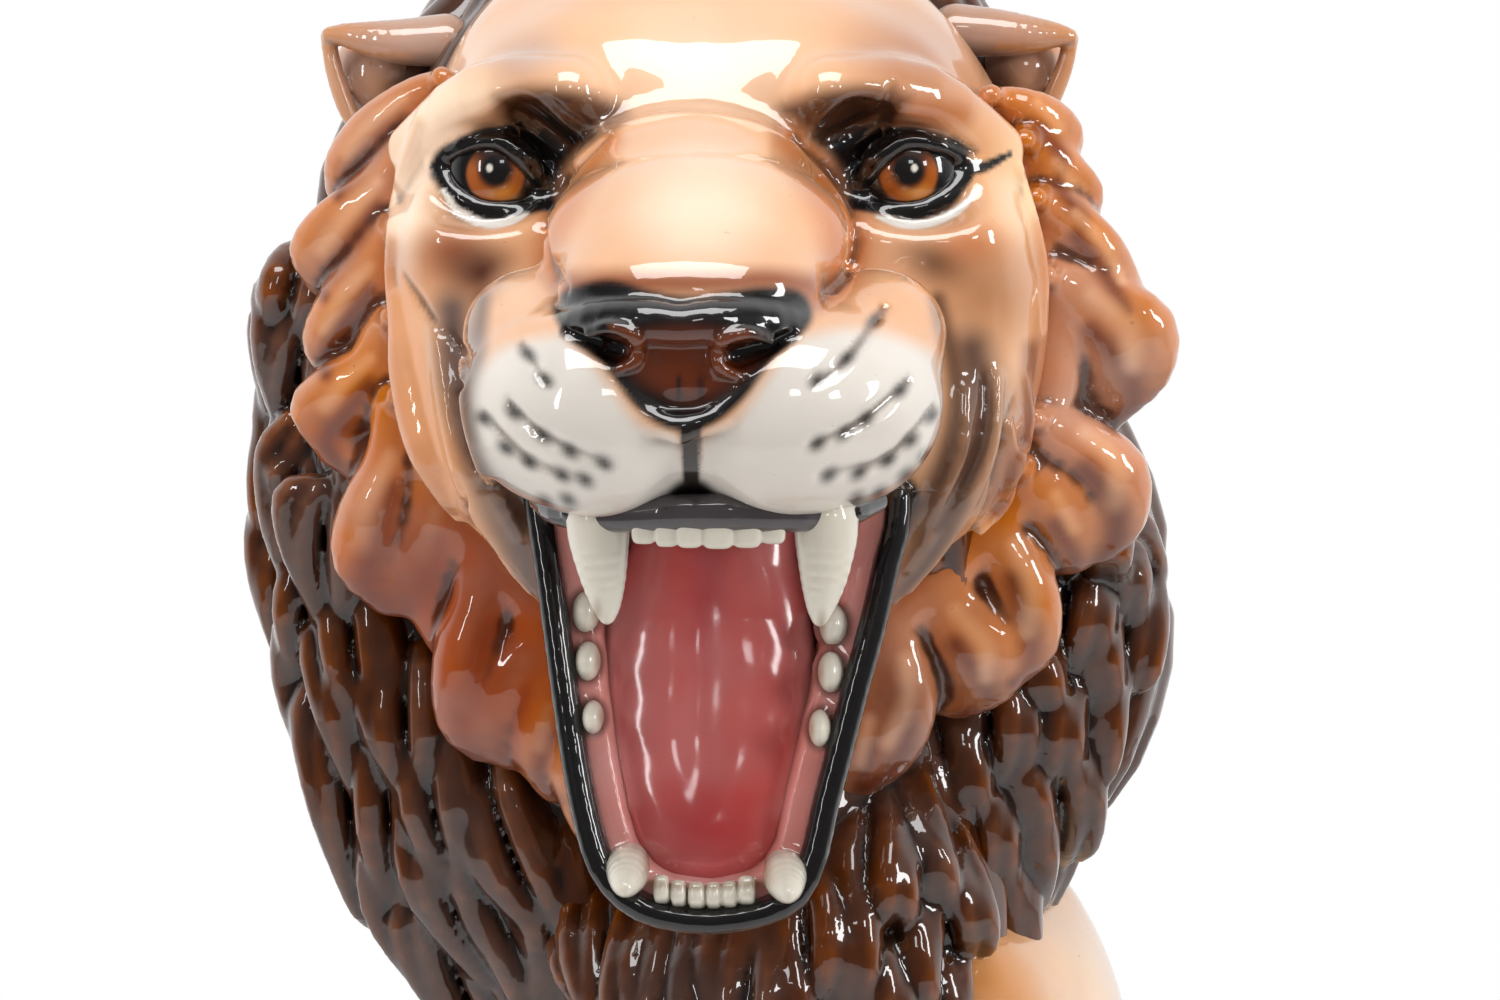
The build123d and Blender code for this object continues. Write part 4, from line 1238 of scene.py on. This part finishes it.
def ruff_side(side):
    """The ruff of one cheek: drooping locks that swell out of a roll and run into one another."""
    low, high = sorted((side * 4, side * 186))
    clay = Clay((low, 8, -246), (high, 100, 68), RUFF_VOXEL)
    for line, depth in ((RUFF_BAND[side], RUFF_BAND_DEPTH), (RUFF_ROOTS[side], RUFF_EDGE_DEPTH)):
        clay.add(seen_stroke(line, depth), 8)
    for n, (root, *rest) in enumerate(RUFF_LOCKS[side]):
        start = 1.25 * np.array(root) - 0.25 * np.array(rest[0])
        knots = ((start[0], start[1], 3.0), root, *rest)
        shares = np.linspace(0, 1, len(knots))
        depths = np.interp(shares, *RUFF_CREST) + RUFF_TUCK * (1 - shares) ** 4 * (n >= RUFF_UPPER)
        line = [(*seen((px, py), depth), radius) for (px, py, radius), depth in zip(knots, depths)]
        lock(clay, line, (0, -1, 0), strands=2, spread=0.6, slim=0.8, soft=7.0, twist=0.3 * (-1) ** n)
    fire(f"ruff_{SIDE_NAMES[side]}", "ruff_glaze", clay, lambda brush: paint_ruff(brush, side))


def paint_ruff(brush, side):
    """Tan with peach crests as painted highlights, orange towards the jaw, and red-brown under the locks and
    dark in the folds as painted shade.
    """
    brush.coat(srgb(194, 122, 74))
    if side < 0:
        brush.dab((340, 440), (80, 70), srgb(180, 98, 54), 0.8)
    else:
        brush.dab((880, 720), (130, 130), srgb(142, 74, 30), 0.9)
        brush.dab((1110, 460), (70, 60), srgb(194, 116, 70), 0.7)
    # Red-brown along the lower side of each lock: painted shade
    for knots in RUFF_LOCKS[side]:
        shade = [(px, py + 2.6 * radius, 1.7 * radius + 4) for px, py, radius in knots[1:]]
        brush.sweep(shade, srgb(108, 46, 22), 0.85)
    # Peach along each crest: painted highlight
    for knots in RUFF_LOCKS[side]:
        crest = [(px, py - radius, 1.6 * radius) for px, py, radius in knots[1:-1]]
        brush.sweep(crest, srgb(232, 174, 128), 0.55)
    if side < 0:
        brush.dab((450, 640), (190, 230), srgb(146, 58, 18), 0.85, hard=0.3)
    # Red-brown on the undersides and dark in the folds: painted shade
    brush.undersides(srgb(92, 40, 20), 0.6, 0.3, 0.9)
    brush.creases(srgb(66, 30, 18), 0.9, 0.05, 0.45)


# Guide lines in pixels that the mane's front locks run between: along the ruff and along the outline
MANE_GUIDES = {
    -1: (((322, 250), (314, 330), (320, 420), (348, 540), (394, 632), (446, 720), (506, 796), (580, 860)),
         ((322, 250), (308, 330), (300, 440), (292, 560), (314, 700), (360, 840), (424, 970), (564, 1080))),
    1: (((1104, 520), (1066, 590), (1012, 664), (960, 720), (916, 764), (884, 800)),
        ((1132, 520), (1142, 600), (1116, 720), (1070, 830), (1028, 916), (990, 990))),
}
# Rows of front locks between the guides as shares of the way, the locks in a row, and their size
MANE_ROWS = ((0.5, 1.03), (0.14, 0.8), (-0.16, 0.46))
MANE_COUNTS = {-1: 9, 1: 7}
MANE_LOCK = 14.5
# The ellipsoid that rounds off the mane's front: its middle and radii
MANE_FRONT = ((0, 150, -116), (172, 88, 240))
# Level sections of the mane's dome, from the hem up: (height, x, y, half width, half depth)
MANE_SECTIONS = (
    (-345, 0, 140, 74, 78), (-312, 0, 140, 90, 94), (-260, -2, 140, 117, 110), (-200, 2, 140, 142, 121),
    (-156, 0, 140, 152, 123), (-110, -6, 140, 142, 122), (-40, -10, 140, 126, 114), (36, -6, 140, 102, 92),
    (86, 0, 140, 62, 52), (103, 0, 140, 26, 20), (108, 0, 140, 4, 4),
)
# Columns of hanging locks: where they start down from the crown, their rows behind and before, and their sway
MANE_COLUMNS = 18
MANE_CROWN, MANE_FIRST, MANE_STEP = 4.0, 42.0, 84.0
ROWS_BEHIND, ROWS_BEFORE = 6, 2
SWAY = 0.8
# A hanging lock's length, the share of it that has to fit over the hem, and its size by the way out
LOCK_LENGTH, LOCK_FIT = 136.0, 0.6
LOCK_SIZE, LOCK_SIZES = 0.17, (6, 20)
# A hanging lock's knots: (share of its length, height and radius as shares of its size)
HANGING_KNOTS = ((0, -0.35, 0.7), (0.3, 0.2, 1.0), (0.68, 0.42, 0.95), (1, 0.15, 0.3))


def hanging_line(sections, turn):
    """A line that hangs over a lofted form at an angle from its back: points from the crown to the hem."""
    height, across, back, half_width, half_depth = curve(sections, 8)[::-1].T
    return np.stack((across + half_width * math.sin(turn), back + half_depth * math.cos(turn), height), 1)


def hanging_lock(clay, line, start, turn, sway):
    """A lock that hangs along a line, from a start measured along it, and swings sideways a little."""
    reach = np.insert(np.cumsum(np.linalg.norm(np.diff(line, axis=0), axis=1)), 0, 0)
    if start + LOCK_FIT * LOCK_LENGTH > reach[-1]:
        return
    out = np.array((math.sin(turn), math.cos(turn), 0.0))
    aside = np.array((math.cos(turn), -math.sin(turn), 0.0))
    knots = []
    for share, height, radius in HANGING_KNOTS:
        place = np.array([np.interp(start + share * LOCK_LENGTH, reach, line[:, n]) for n in range(3)])
        size = np.clip(LOCK_SIZE * np.hypot(*(place - line[0])[:2]), *LOCK_SIZES)
        knots.append((*(place + (height * out + sway * share * aside) * size), radius * size))
    lock(clay, knots, out)


# A laid lock's knots: (share of its length, height and radius as shares of its size), the farthest it goes
# deeper from one knot to the next, and how uneven the locks are in length and course
LAID_KNOTS = ((0, -0.4, 0.6), (0.3, 0.4, 1.0), (0.65, 0.85, 1.0), (0.9, 0.6, 0.7), (1, 0.2, 0.3))
LAID_DEEPER = 15.0
UNEVEN_LENGTH, UNEVEN_COURSE = 0.07, 0.012


def guided(guides, turn, reach):
    """The pixel at a share along two guide lines and a share of the way from the first to the second."""
    inner, outer = (np.array([np.interp(turn, np.linspace(0, 1, len(line)), line[:, n]) for n in range(2)])
                    for line in guides)
    return (1 - reach) * inner + reach * outer


def laid_lock(under, course, size):
    """Knots of a lock laid over a lump along a course of pixels."""
    knots = []
    for pixel, (_, height, radius) in zip(course, LAID_KNOTS):
        near = under.shown(pixel)[1]
        depth = np.clip(near, depth - LAID_DEEPER, depth + LAID_DEEPER) if knots else near
        knots.append((*(seen(pixel, depth) - FORWARD * height * size), radius * size))
    return knots


def comb(clay, guides, rows, count, size, sag):
    """Rows of locks laid over a lump from one guide line towards another, the outermost row first."""
    under = clay.like(clay.field.copy())
    guides = [curve(line, 8) for line in guides]
    for row, (start, end) in enumerate(rows):
        for n in range(count):
            share = (n + 0.5 * (row % 2)) / (count - 0.5)
            length = end + UNEVEN_LENGTH * math.sin(2.9 * n + 5.1 * row) - start
            course = []
            for way, _, _ in LAID_KNOTS:
                turn = share + sag * way ** 1.6 + UNEVEN_COURSE * math.sin(4.5 * way + 2.1 * n + row)
                course.append(guided(guides, turn, start + length * way))
            strands = 4 + (n + row) % 2
            lock(clay, laid_lock(under, course, size), (0, -1, 0), strands, spread=0.46, slim=0.42)


# The fringe's locks: (way from the crown, height over the skull, radius), how far they fan and how many
FRINGE_KNOTS = ((16, 20, 7), (52, 8, 10), (84, 5, 10), (104, 1, 3.5))
FRINGE_FAN = math.radians(44)
FRINGE_COUNT = 7


def fringe(clay):
    """Short locks laid from the crown over the top of the forehead."""
    crown = MANE_SECTIONS[-1][2]
    middle, radii = SKULL
    for n in range(FRINGE_COUNT):
        turn = FRINGE_FAN * (2 * n / (FRINGE_COUNT - 1) - 1)
        longer = 1 + 0.08 * math.sin(4.1 * n)
        knots = []
        for way, height, radius in FRINGE_KNOTS:
            x, y = longer * way * math.sin(turn), crown - longer * way * math.cos(turn)
            level = 1 - (x / radii[0]) ** 2 - ((y - middle[1]) / radii[1]) ** 2
            knots.append((x, y, middle[2] + radii[2] * math.sqrt(level) + height, radius))
        lock(clay, knots, (0, 0, 1))


def mane_clay():
    """The mane: hanging locks over a dome, and front rows that come out from under the ruff."""
    clay = Clay((-190, 26, -358), (192, 286, 124), MANE_VOXEL)
    clay.add(column(MANE_SECTIONS), 4)
    x, y, z = clay.grid()
    middle = MANE_FRONT[0][1]
    clay.trim(ball(*MANE_FRONT)[2](x, np.minimum(y, middle), z), 6)
    for n in range(MANE_COLUMNS):
        turn = 2 * math.pi * (n + 0.5) / MANE_COLUMNS
        line = hanging_line(MANE_SECTIONS, turn)
        for m in reversed(range(ROWS_BEHIND if math.cos(turn) > -0.2 else ROWS_BEFORE)):
            start = MANE_FIRST + MANE_STEP * (m + 0.5 * (n % 2))
            hanging_lock(clay, line, start, turn, SWAY * math.sin(1.7 * m + 2.3 * n))
        hanging_lock(clay, line, MANE_CROWN, turn, SWAY * math.sin(2.3 * n))
    fringe(clay)
    for side in SIDES:
        comb(clay, MANE_GUIDES[side], MANE_ROWS, MANE_COUNTS[side], MANE_LOCK, 0.2)
    return clay


def paint_mane(brush):
    """Dark brown, nearly black in the valleys and below as painted shade, and paler on the ridges as painted
    highlight.
    """
    brush.coat(BROWN)
    # Paler ridges: painted highlight; near black below and in the valleys: painted shade
    brush.ridges(srgb(128, 72, 38), 0.8, 0.25, 1.1)
    brush.undersides(MANE_SHADE, 0.6, 0.2, 0.9)
    brush.creases(MANE_SHADE, 0.95, -0.15, 0.6)


# Level sections of the bib: (drop below the eyes, half width, half depth, setback in the body frame)
BIB_SECTIONS = ((410, 32, 102, -150), (350, 62, 116, -152), (300, 78, 114, -162), (256, 80, 104, -168),
                (222, 74, 92, -170), (186, 60, 76, -172))
# Guide lines in pixels that the chest locks run between: under the jaw and at the chest's foot
BIB_GUIDES = (((588, 858), (622, 886), (664, 908), (712, 920), (760, 908), (800, 866), (838, 826),
               (880, 790), (920, 764)),
              ((640, 1216), (662, 1246), (694, 1266), (736, 1272), (776, 1266), (812, 1240), (852, 1196),
               (910, 1120), (980, 1010)))
# Rows of chest locks, the locks in a row, and the plane that cuts off the back
BIB_ROWS = ((0.6, 1.04), (0.3, 0.76), (0.0, 0.46))
BIB_COUNT = 11
BIB_BACK = 92.0


def bib_clay():
    """The chest locks: rows down a skirt on the front of the trunk."""
    clay = Clay((-80, 6, -432), (140, 150, -176), MANE_VOXEL)
    cos, sin = math.cos(BODY_TURN), math.sin(BODY_TURN)
    clay.add(column([(-drop, -sin * setback - HEAD[0], cos * setback - HEAD[1], half_width, half_depth)
                     for drop, half_width, half_depth, setback in BIB_SECTIONS], BODY_TURN), 4)
    comb(clay, BIB_GUIDES, BIB_ROWS, BIB_COUNT, MANE_LOCK, 0.0)
    y = clay.grid()[1]
    clay.trim(y - BIB_BACK, 3)
    return clay


def fire_hair():
    """Ears, ruffs, mane and bib."""
    for side in SIDES:
        ear(side)
        ruff_side(side)
    fire("mane_collar", "mane_glaze", mane_clay(), paint_mane)
    fire("chest_bib", "mane_glaze", bib_clay(), paint_mane)


# Trunk and limbs, in the body frame. They are modelled as one body and parted at the luted seams

BODY_LOW, BODY_HIGH = (-190, -320, -4), (190, 176, 530)
# Seams: the width that is filled, and how far and how deep a casting runs on under its neighbour
SEAM_FILL = 14.0
SEAM_TUCK, SEAM_DIVE = 6.0, 1.6
# Level sections of the trunk: (height, x, y, half width, half depth)
TRUNK_SECTIONS = ((0, 0, 0, 122, 114), (70, 0, -2, 134, 126), (170, 0, -20, 132, 126),
                  (290, 0, -66, 118, 116), (410, 0, -126, 106, 108), (472, 0, -146, 99, 100),
                  (504, 0, -156, 78, 80), (520, 0, -160, 40, 42))
SLAB_RADII = (112.7, 104.7)
SLAB_THICKNESS, SLAB_PLAY = 10.0, 0.4
VENT_PLACE, VENT_RADIUS = (0.0, 55.0), 12.0
SPINE_FURROW = ((0, 136, 190, 8), (0, 70, 312, 7), (0, 2, 428, 6))
HAUNCH_FURROW = ((152, -60, 150, 5), (160, -28, 84, 6), (152, -30, 30, 5))
LEG_LINE = ((66, -190, 484, 20), (68, -190, 440, 42), (67, -196, 390, 47), (65, -205, 320, 44),
            (64, -210, 240, 40), (64, -213, 150, 34), (64, -215, 80, 34), (64, -226, 30, 38))
# Toes: the way out and setback of each paw's middle, and the toes' pitch, arc and height
FORE_PAW, HIND_PAW = (64, -288), (126, -172)
TOE_PITCH, TOE_ARC, TOE_HEIGHT = 23.0, 4.5, 13
TAIL_LINE = ((0, 92, 15, 15), (14, 138, 15, 15), (60, 152, 15, 15), (122, 136, 15, 15), (164, 84, 15, 15),
             (178, 20, 15, 14), (178, -66, 15, 13))
TUFT_PLACE = (178.0, -92.0, 15.0)
# A tuft lock's knots: (way back from the tuft's middle, way out, radius), and how many lie over it
TUFT_KNOTS = ((42, 10, 6), (8, 17, 8), (-28, 16, 7), (-56, 6, 3))
TUFT_COUNT = 9


def mirrored(knots, side):
    """Knots of the body's left, carried to one side."""
    return np.array(knots, np.float32) * (side, 1, 1, 1)


def toe_tips(side, paw):
    """Places of a paw's four toes, in a shallow arc."""
    across, setback = paw
    return [np.array((side * across + off * TOE_PITCH, setback + TOE_ARC * off * off, TOE_HEIGHT))
            for off in (-1.5, -0.5, 0.5, 1.5)]


def toes(clay, side, paw):
    """Four toes with a claw in each."""
    for tip in toe_tips(side, paw):
        clay.add(ball(tip, (12.8, 25, 21), (14, 0, 0)), 4)
        clay.add(stroke(((*(tip + (0, -20, -1)), 4.5), (*(tip + (0, -27, -7)), 2.2))), 2)


def torso_clay():
    """Trunk with a chest between the forelegs, ribs and a furrow along the spine."""
    clay = Clay(BODY_LOW, BODY_HIGH, BODY_VOXEL)
    clay.add(column(TRUNK_SECTIONS), 4)
    clay.add(ball((0, -206, 372), (60, 40, 84)), 24)
    for side in SIDES:
        clay.add(ball((side * 84, -64, 252), (32, 76, 66), (-24, 0, 0)), 26)
    clay.carve(stroke(SPINE_FURROW), 20)
    return clay


def foreleg_clay(side):
    """A straight foreleg: upper arm, forearm, wrist and paw."""
    clay = Clay(BODY_LOW, BODY_HIGH, BODY_VOXEL)
    clay.add(stroke(mirrored(LEG_LINE, side)), 8)
    clay.add(ball((side * 67, -192, 372), (42, 60, 92), (-8, 0, 0)), 14)
    clay.add(ball((side * 58, -128, 428), (36, 60, 92), (-14, 0, 0)), 16)
    clay.add(ball((side * 66, -168, 262), (30, 34, 44)), 14)
    clay.add(ball((side * 68, -218, 206), (34, 36, 62)), 14)
    clay.add(ball((side * 64, -246, 16), (45, 56, 34)), 12)
    clay.add(ball((side * 40, -212, 66), (12, 16, 14)), 6)
    toes(clay, side, FORE_PAW)
    return clay


def haunch_clay(side):
    """A folded thigh with its knee."""
    clay = Clay(BODY_LOW, BODY_HIGH, BODY_VOXEL)
    clay.add(ball((side * 98, -28, 104), (50, 120, 110), (-16, 0, 0)), 8)
    clay.add(ball((side * 112, -104, 66), (34, 50, 46), (-30, 0, 0)), 18)
    clay.add(ball((side * 104, 52, 62), (40, 50, 56)), 18)
    clay.carve(stroke(mirrored(HAUNCH_FURROW, side)), 16)
    return clay


def hind_foot_clay(side):
    """A hind foot lying flat."""
    clay = Clay(BODY_LOW, BODY_HIGH, BODY_VOXEL)
    clay.add(ball((side * 126, -84, 16), (34, 92, 30)), 8)
    clay.add(ball((side * 126, -134, 14), (40, 44, 30)), 10)
    toes(clay, side, HIND_PAW)
    return clay


def slab_gap(x, y, z, grow=0.0):
    """Distance to the base slab with its vent."""
    rim = (np.hypot(x / SLAB_RADII[0], y / SLAB_RADII[1]) - 1) * min(SLAB_RADII) - grow
    return np.maximum(rim, np.abs(z - SLAB_THICKNESS / 2) - SLAB_THICKNESS / 2 - grow)


def body_parts():
    """The body's lumps by node, parted from one another along their seams."""
    lumps = {"torso_shell": torso_clay()}
    for side in SIDES:
        name = SIDE_NAMES[side]
        lumps[f"foreleg_{name}"] = foreleg_clay(side)
        lumps[f"haunch_{name}"] = haunch_clay(side)
        lumps[f"hind_foot_{name}"] = hind_foot_clay(side)
    whole = np.full_like(lumps["torso_shell"].field, FAR)
    for lump in lumps.values():
        whole = soft_min(whole, lump.field, SEAM_FILL)
    x, y, z = lumps["torso_shell"].grid()
    whole = np.maximum(whole, -z)
    parts = {}
    for node, lump in lumps.items():
        others = np.min([other.field for key, other in lumps.items() if key != node], axis=0)
        parts[node] = lump.like(whole).part((lump.field - others) / 2, SEAM_TUCK, SEAM_DIVE)
    torso = parts["torso_shell"]
    torso.field = np.maximum(torso.field, -slab_gap(x, y, z, SLAB_PLAY))
    return parts


def paint_coat(brush):
    """Tan coat: cream on the chest, toes and belly, browner along the back, dark claws, with painted shade in
    the creases and painted highlights on the ridges.
    """
    brush.coat(TAN)
    brush.spray((0, 60, 330), (130, 200, 240), ORANGE, 0.45)
    brush.spray((0, 90, 300), (60, 150, 260), RED_BROWN, 0.5)
    brush.spray((0, -250, 330), (90, 110, 190), CREAM, 0.7)
    brush.spray((0, -230, 120), (130, 110, 120), PEACH, 0.6)
    for side in SIDES:
        brush.spray((side * 64, -290, 8), (52, 50, 34), CREAM, 0.8)
        brush.spray((side * 126, -176, 8), (52, 50, 34), CREAM, 0.8)
        brush.spray((side * 84, -140, 466), (64, 80, 90), CREAM, 0.8)
        brush.spray((side * 130, -20, 120), (60, 90, 80), PEACH, 0.5)
    # Red-brown in the creases: painted shade; cream on the ridges: painted highlight
    brush.creases(RED_BROWN, 0.7, 0.05, 0.7)
    brush.ridges(CREAM, 0.25, 0.1, 0.8)
    for side in SIDES:
        for tip in (*toe_tips(side, FORE_PAW), *toe_tips(side, HIND_PAW)):
            brush.spray(tip + (0, -26, -5), (7, 9, 8), UMBER, 1.0, hard=0.4)


def tail_piece():
    """The tail along the floor and the tuft at its end."""
    clay = Clay((-24, -80, -2), (202, 176, 36), BODY_VOXEL)
    clay.add(stroke(TAIL_LINE), 4)
    z = clay.grid()[2]
    clay.trim(-z, 1)
    fire("tail", "coat_glaze", clay, paint_coat, "body")


def tuft_piece():
    """A brush of locks."""
    clay = Clay((142, -168, -2), (214, -30, 50), MANE_VOXEL)
    clay.add(ball(TUFT_PLACE, (18, 48, 17)), 4)
    for turn in np.linspace(0, math.pi, TUFT_COUNT):
        side, rise = math.cos(turn), math.sin(turn)
        knots = [(TUFT_PLACE[0] + side * reach, TUFT_PLACE[1] + back, 9 + rise * (reach - 2), radius)
                 for back, reach, radius in TUFT_KNOTS]
        lock(clay, knots, (side, 0, rise), strands=2)
    z = clay.grid()[2]
    clay.trim(-z, 1)
    fire("tail_tuft", "mane_glaze", clay, paint_mane, "body")


def slab_piece():
    """The unglazed base slab with its kiln vent."""
    clay = Clay((-118, -110, -3), (118, 110, 13), RUFF_VOXEL)
    x, y, z = clay.grid()
    vent = VENT_RADIUS - np.hypot(x - VENT_PLACE[0], y - VENT_PLACE[1])
    clay.field = np.maximum(slab_gap(x, y, z), vent).astype(np.float32)
    fire("base_slab", "bare_clay", clay, paint_slab, "body")


def paint_slab(brush):
    """Bare clay, darker at the rim where the glaze bled."""
    brush.coat(CLAY_BODY)
    rim = np.hypot(brush.points[:, 0] / SLAB_RADII[0], brush.points[:, 1] / SLAB_RADII[1])
    brush.lay(0.6 * ramp(rim, 0.9, 1.0), STAIN_AND_SHADE)


def fire_body():
    """Trunk, limbs, tail and base."""
    for node, clay in body_parts().items():
        fire(node, "coat_glaze", clay, paint_coat, "body")
    tail_piece()
    tuft_piece()
    slab_piece()


fire_head()
fire_mouth()
fire_hair()
fire_body()


# Studio

FLOOR_RADIUS = 1500.0
FLOOR_SIDES = 96
FLOOR_GREY, FLOOR_ROUGHNESS, FLOOR_GLOW = 0.86, 0.7, 0.35
AMBIENT = 0.33
# Brightness of the mirrored room, and the directions (Y) between which it turns into the white backdrop
DIM_ROOM = 0.09
ROOM_EDGE = (-0.25, 0.2)
# Lamps as (name, place, aim, size, power, whether it lights the clay, whether the glaze mirrors it)
SOFTBOXES = (
    ("overhead", (0, -420, 850), (0, -40, -40), (820, 620), 5.6, True, False),
    ("right_window", (1200, -500, 260), (60, 0, -100), (200, 560), 5.5, True, True),
    ("right_pane", (900, -1200, 420), (60, 0, -100), (170, 220), 1.7, True, True),
    ("right_fill", (1200, -150, 200), (0, 0, -100), (700, 1000), 5.0, True, False),
    ("left_strip", (-900, -1200, 300), (0, 0, -100), (90, 520), 2.2, True, True),
    ("left_fill", (-1200, -250, 200), (0, 0, -100), (700, 1000), 9.0, True, False),
    ("low_fill", (-300, -1300, -300), (0, 0, -60), (900, 500), 1.6, True, False),
    ("front_window", (260, -1900, 700), (0, 0, -120), (300, 230), 1.6, True, True),
    ("brow_card", (0, -417, 607), (0, -15, 34), (800, 400), 8.0, False, True),
)


def mixed(tree, factor, low, high):
    """One of two levels, picked by a factor. A level is a number or a socket."""
    node = tree.nodes.new("ShaderNodeMix")
    for name, level in (("A", low), ("B", high)):
        if isinstance(level, float):
            node.inputs[name].default_value = level
        else:
            tree.links.new(level, node.inputs[name])
    tree.links.new(factor, node.inputs["Factor"])
    return node.outputs["Result"]


def world_light():
    """White to the camera. Reflections show a white backdrop behind the lion and a dim room before it."""
    world = bpy.data.worlds.new("studio")
    bpy.context.scene.world = world
    world.use_nodes = True
    tree = world.node_tree
    background = tree.nodes["Background"]
    background.inputs["Color"].default_value = (1, 1, 1, 1)
    path = tree.nodes.new("ShaderNodeLightPath")
    place = tree.nodes.new("ShaderNodeTexCoord")
    split = tree.nodes.new("ShaderNodeSeparateXYZ")
    tree.links.new(place.outputs["Generated"], split.inputs["Vector"])
    mirrored_room = remap(tree, split.outputs["Y"], *ROOM_EDGE, DIM_ROOM, 1.0)
    bounced = mixed(tree, path.outputs["Is Glossy Ray"], AMBIENT, mirrored_room)
    strength = mixed(tree, path.outputs["Is Camera Ray"], bounced, 1.0)
    tree.links.new(strength, background.inputs["Strength"])


def softboxes():
    """Rectangular lamps, placed and aimed in the head frame."""
    for name, place, aim, size, power, lights, mirrors in SOFTBOXES:
        light = bpy.data.lights.new(name, "AREA")
        light.shape = "RECTANGLE"
        light.size, light.size_y = size[0] * MM, size[1] * MM
        light.energy = power
        lamp = bpy.data.objects.new(name, light)
        lamp.visible_diffuse = lights
        lamp.visible_glossy = mirrors
        lamp.location = (np.array(place) + HEAD) * MM
        lamp.rotation_euler = Vector(np.array(aim) - place).to_track_quat("-Z", "Y").to_euler()
        bpy.context.scene.collection.objects.link(lamp)


def floor():
    """A pale disc that catches the shadow."""
    mesh = bpy.data.meshes.new("floor")
    rim = [(FLOOR_RADIUS * MM * math.cos(a), FLOOR_RADIUS * MM * math.sin(a), 0)
           for a in np.linspace(0, 2 * math.pi, FLOOR_SIDES, endpoint=False)]
    mesh.from_pydata(rim, [], [range(len(rim))])
    material = bpy.data.materials.new("floor")
    material.use_nodes = True
    tree = material.node_tree
    shader = tree.nodes["Principled BSDF"]
    shader.inputs["Base Color"].default_value = (FLOOR_GREY, FLOOR_GREY, FLOOR_GREY, 1)
    shader.inputs["Roughness"].default_value = FLOOR_ROUGHNESS
    shader.inputs["Emission Color"].default_value = (1, 1, 1, 1)
    path = tree.nodes.new("ShaderNodeLightPath")
    glow = remap(tree, path.outputs["Is Camera Ray"], 0.0, 1.0, 0.0, FLOOR_GLOW)
    tree.links.new(glow, shader.inputs["Emission Strength"])
    mesh.materials.append(material)
    disc = bpy.data.objects.new("floor", mesh)
    bpy.context.scene.collection.objects.link(disc)


def photo_camera():
    """The photograph's camera."""
    view = bpy.data.cameras.new("photo_camera")
    view.sensor_width = SENSOR
    view.lens = SENSOR * PHOTO_FOCAL / PHOTO_SIZE[0]
    view.clip_end = 50
    camera = bpy.data.objects.new("photo_camera", view)
    axes = Matrix((RIGHT, UP, -FORWARD)).transposed().to_4x4()
    camera.matrix_world = Matrix.Translation(Vector((CAMERA + HEAD) * MM)) @ axes
    bpy.context.scene.collection.objects.link(camera)
    bpy.context.scene.camera = camera


bpy.context.scene.view_settings.view_transform = "Standard"
world_light()
softboxes()
floor()
photo_camera()
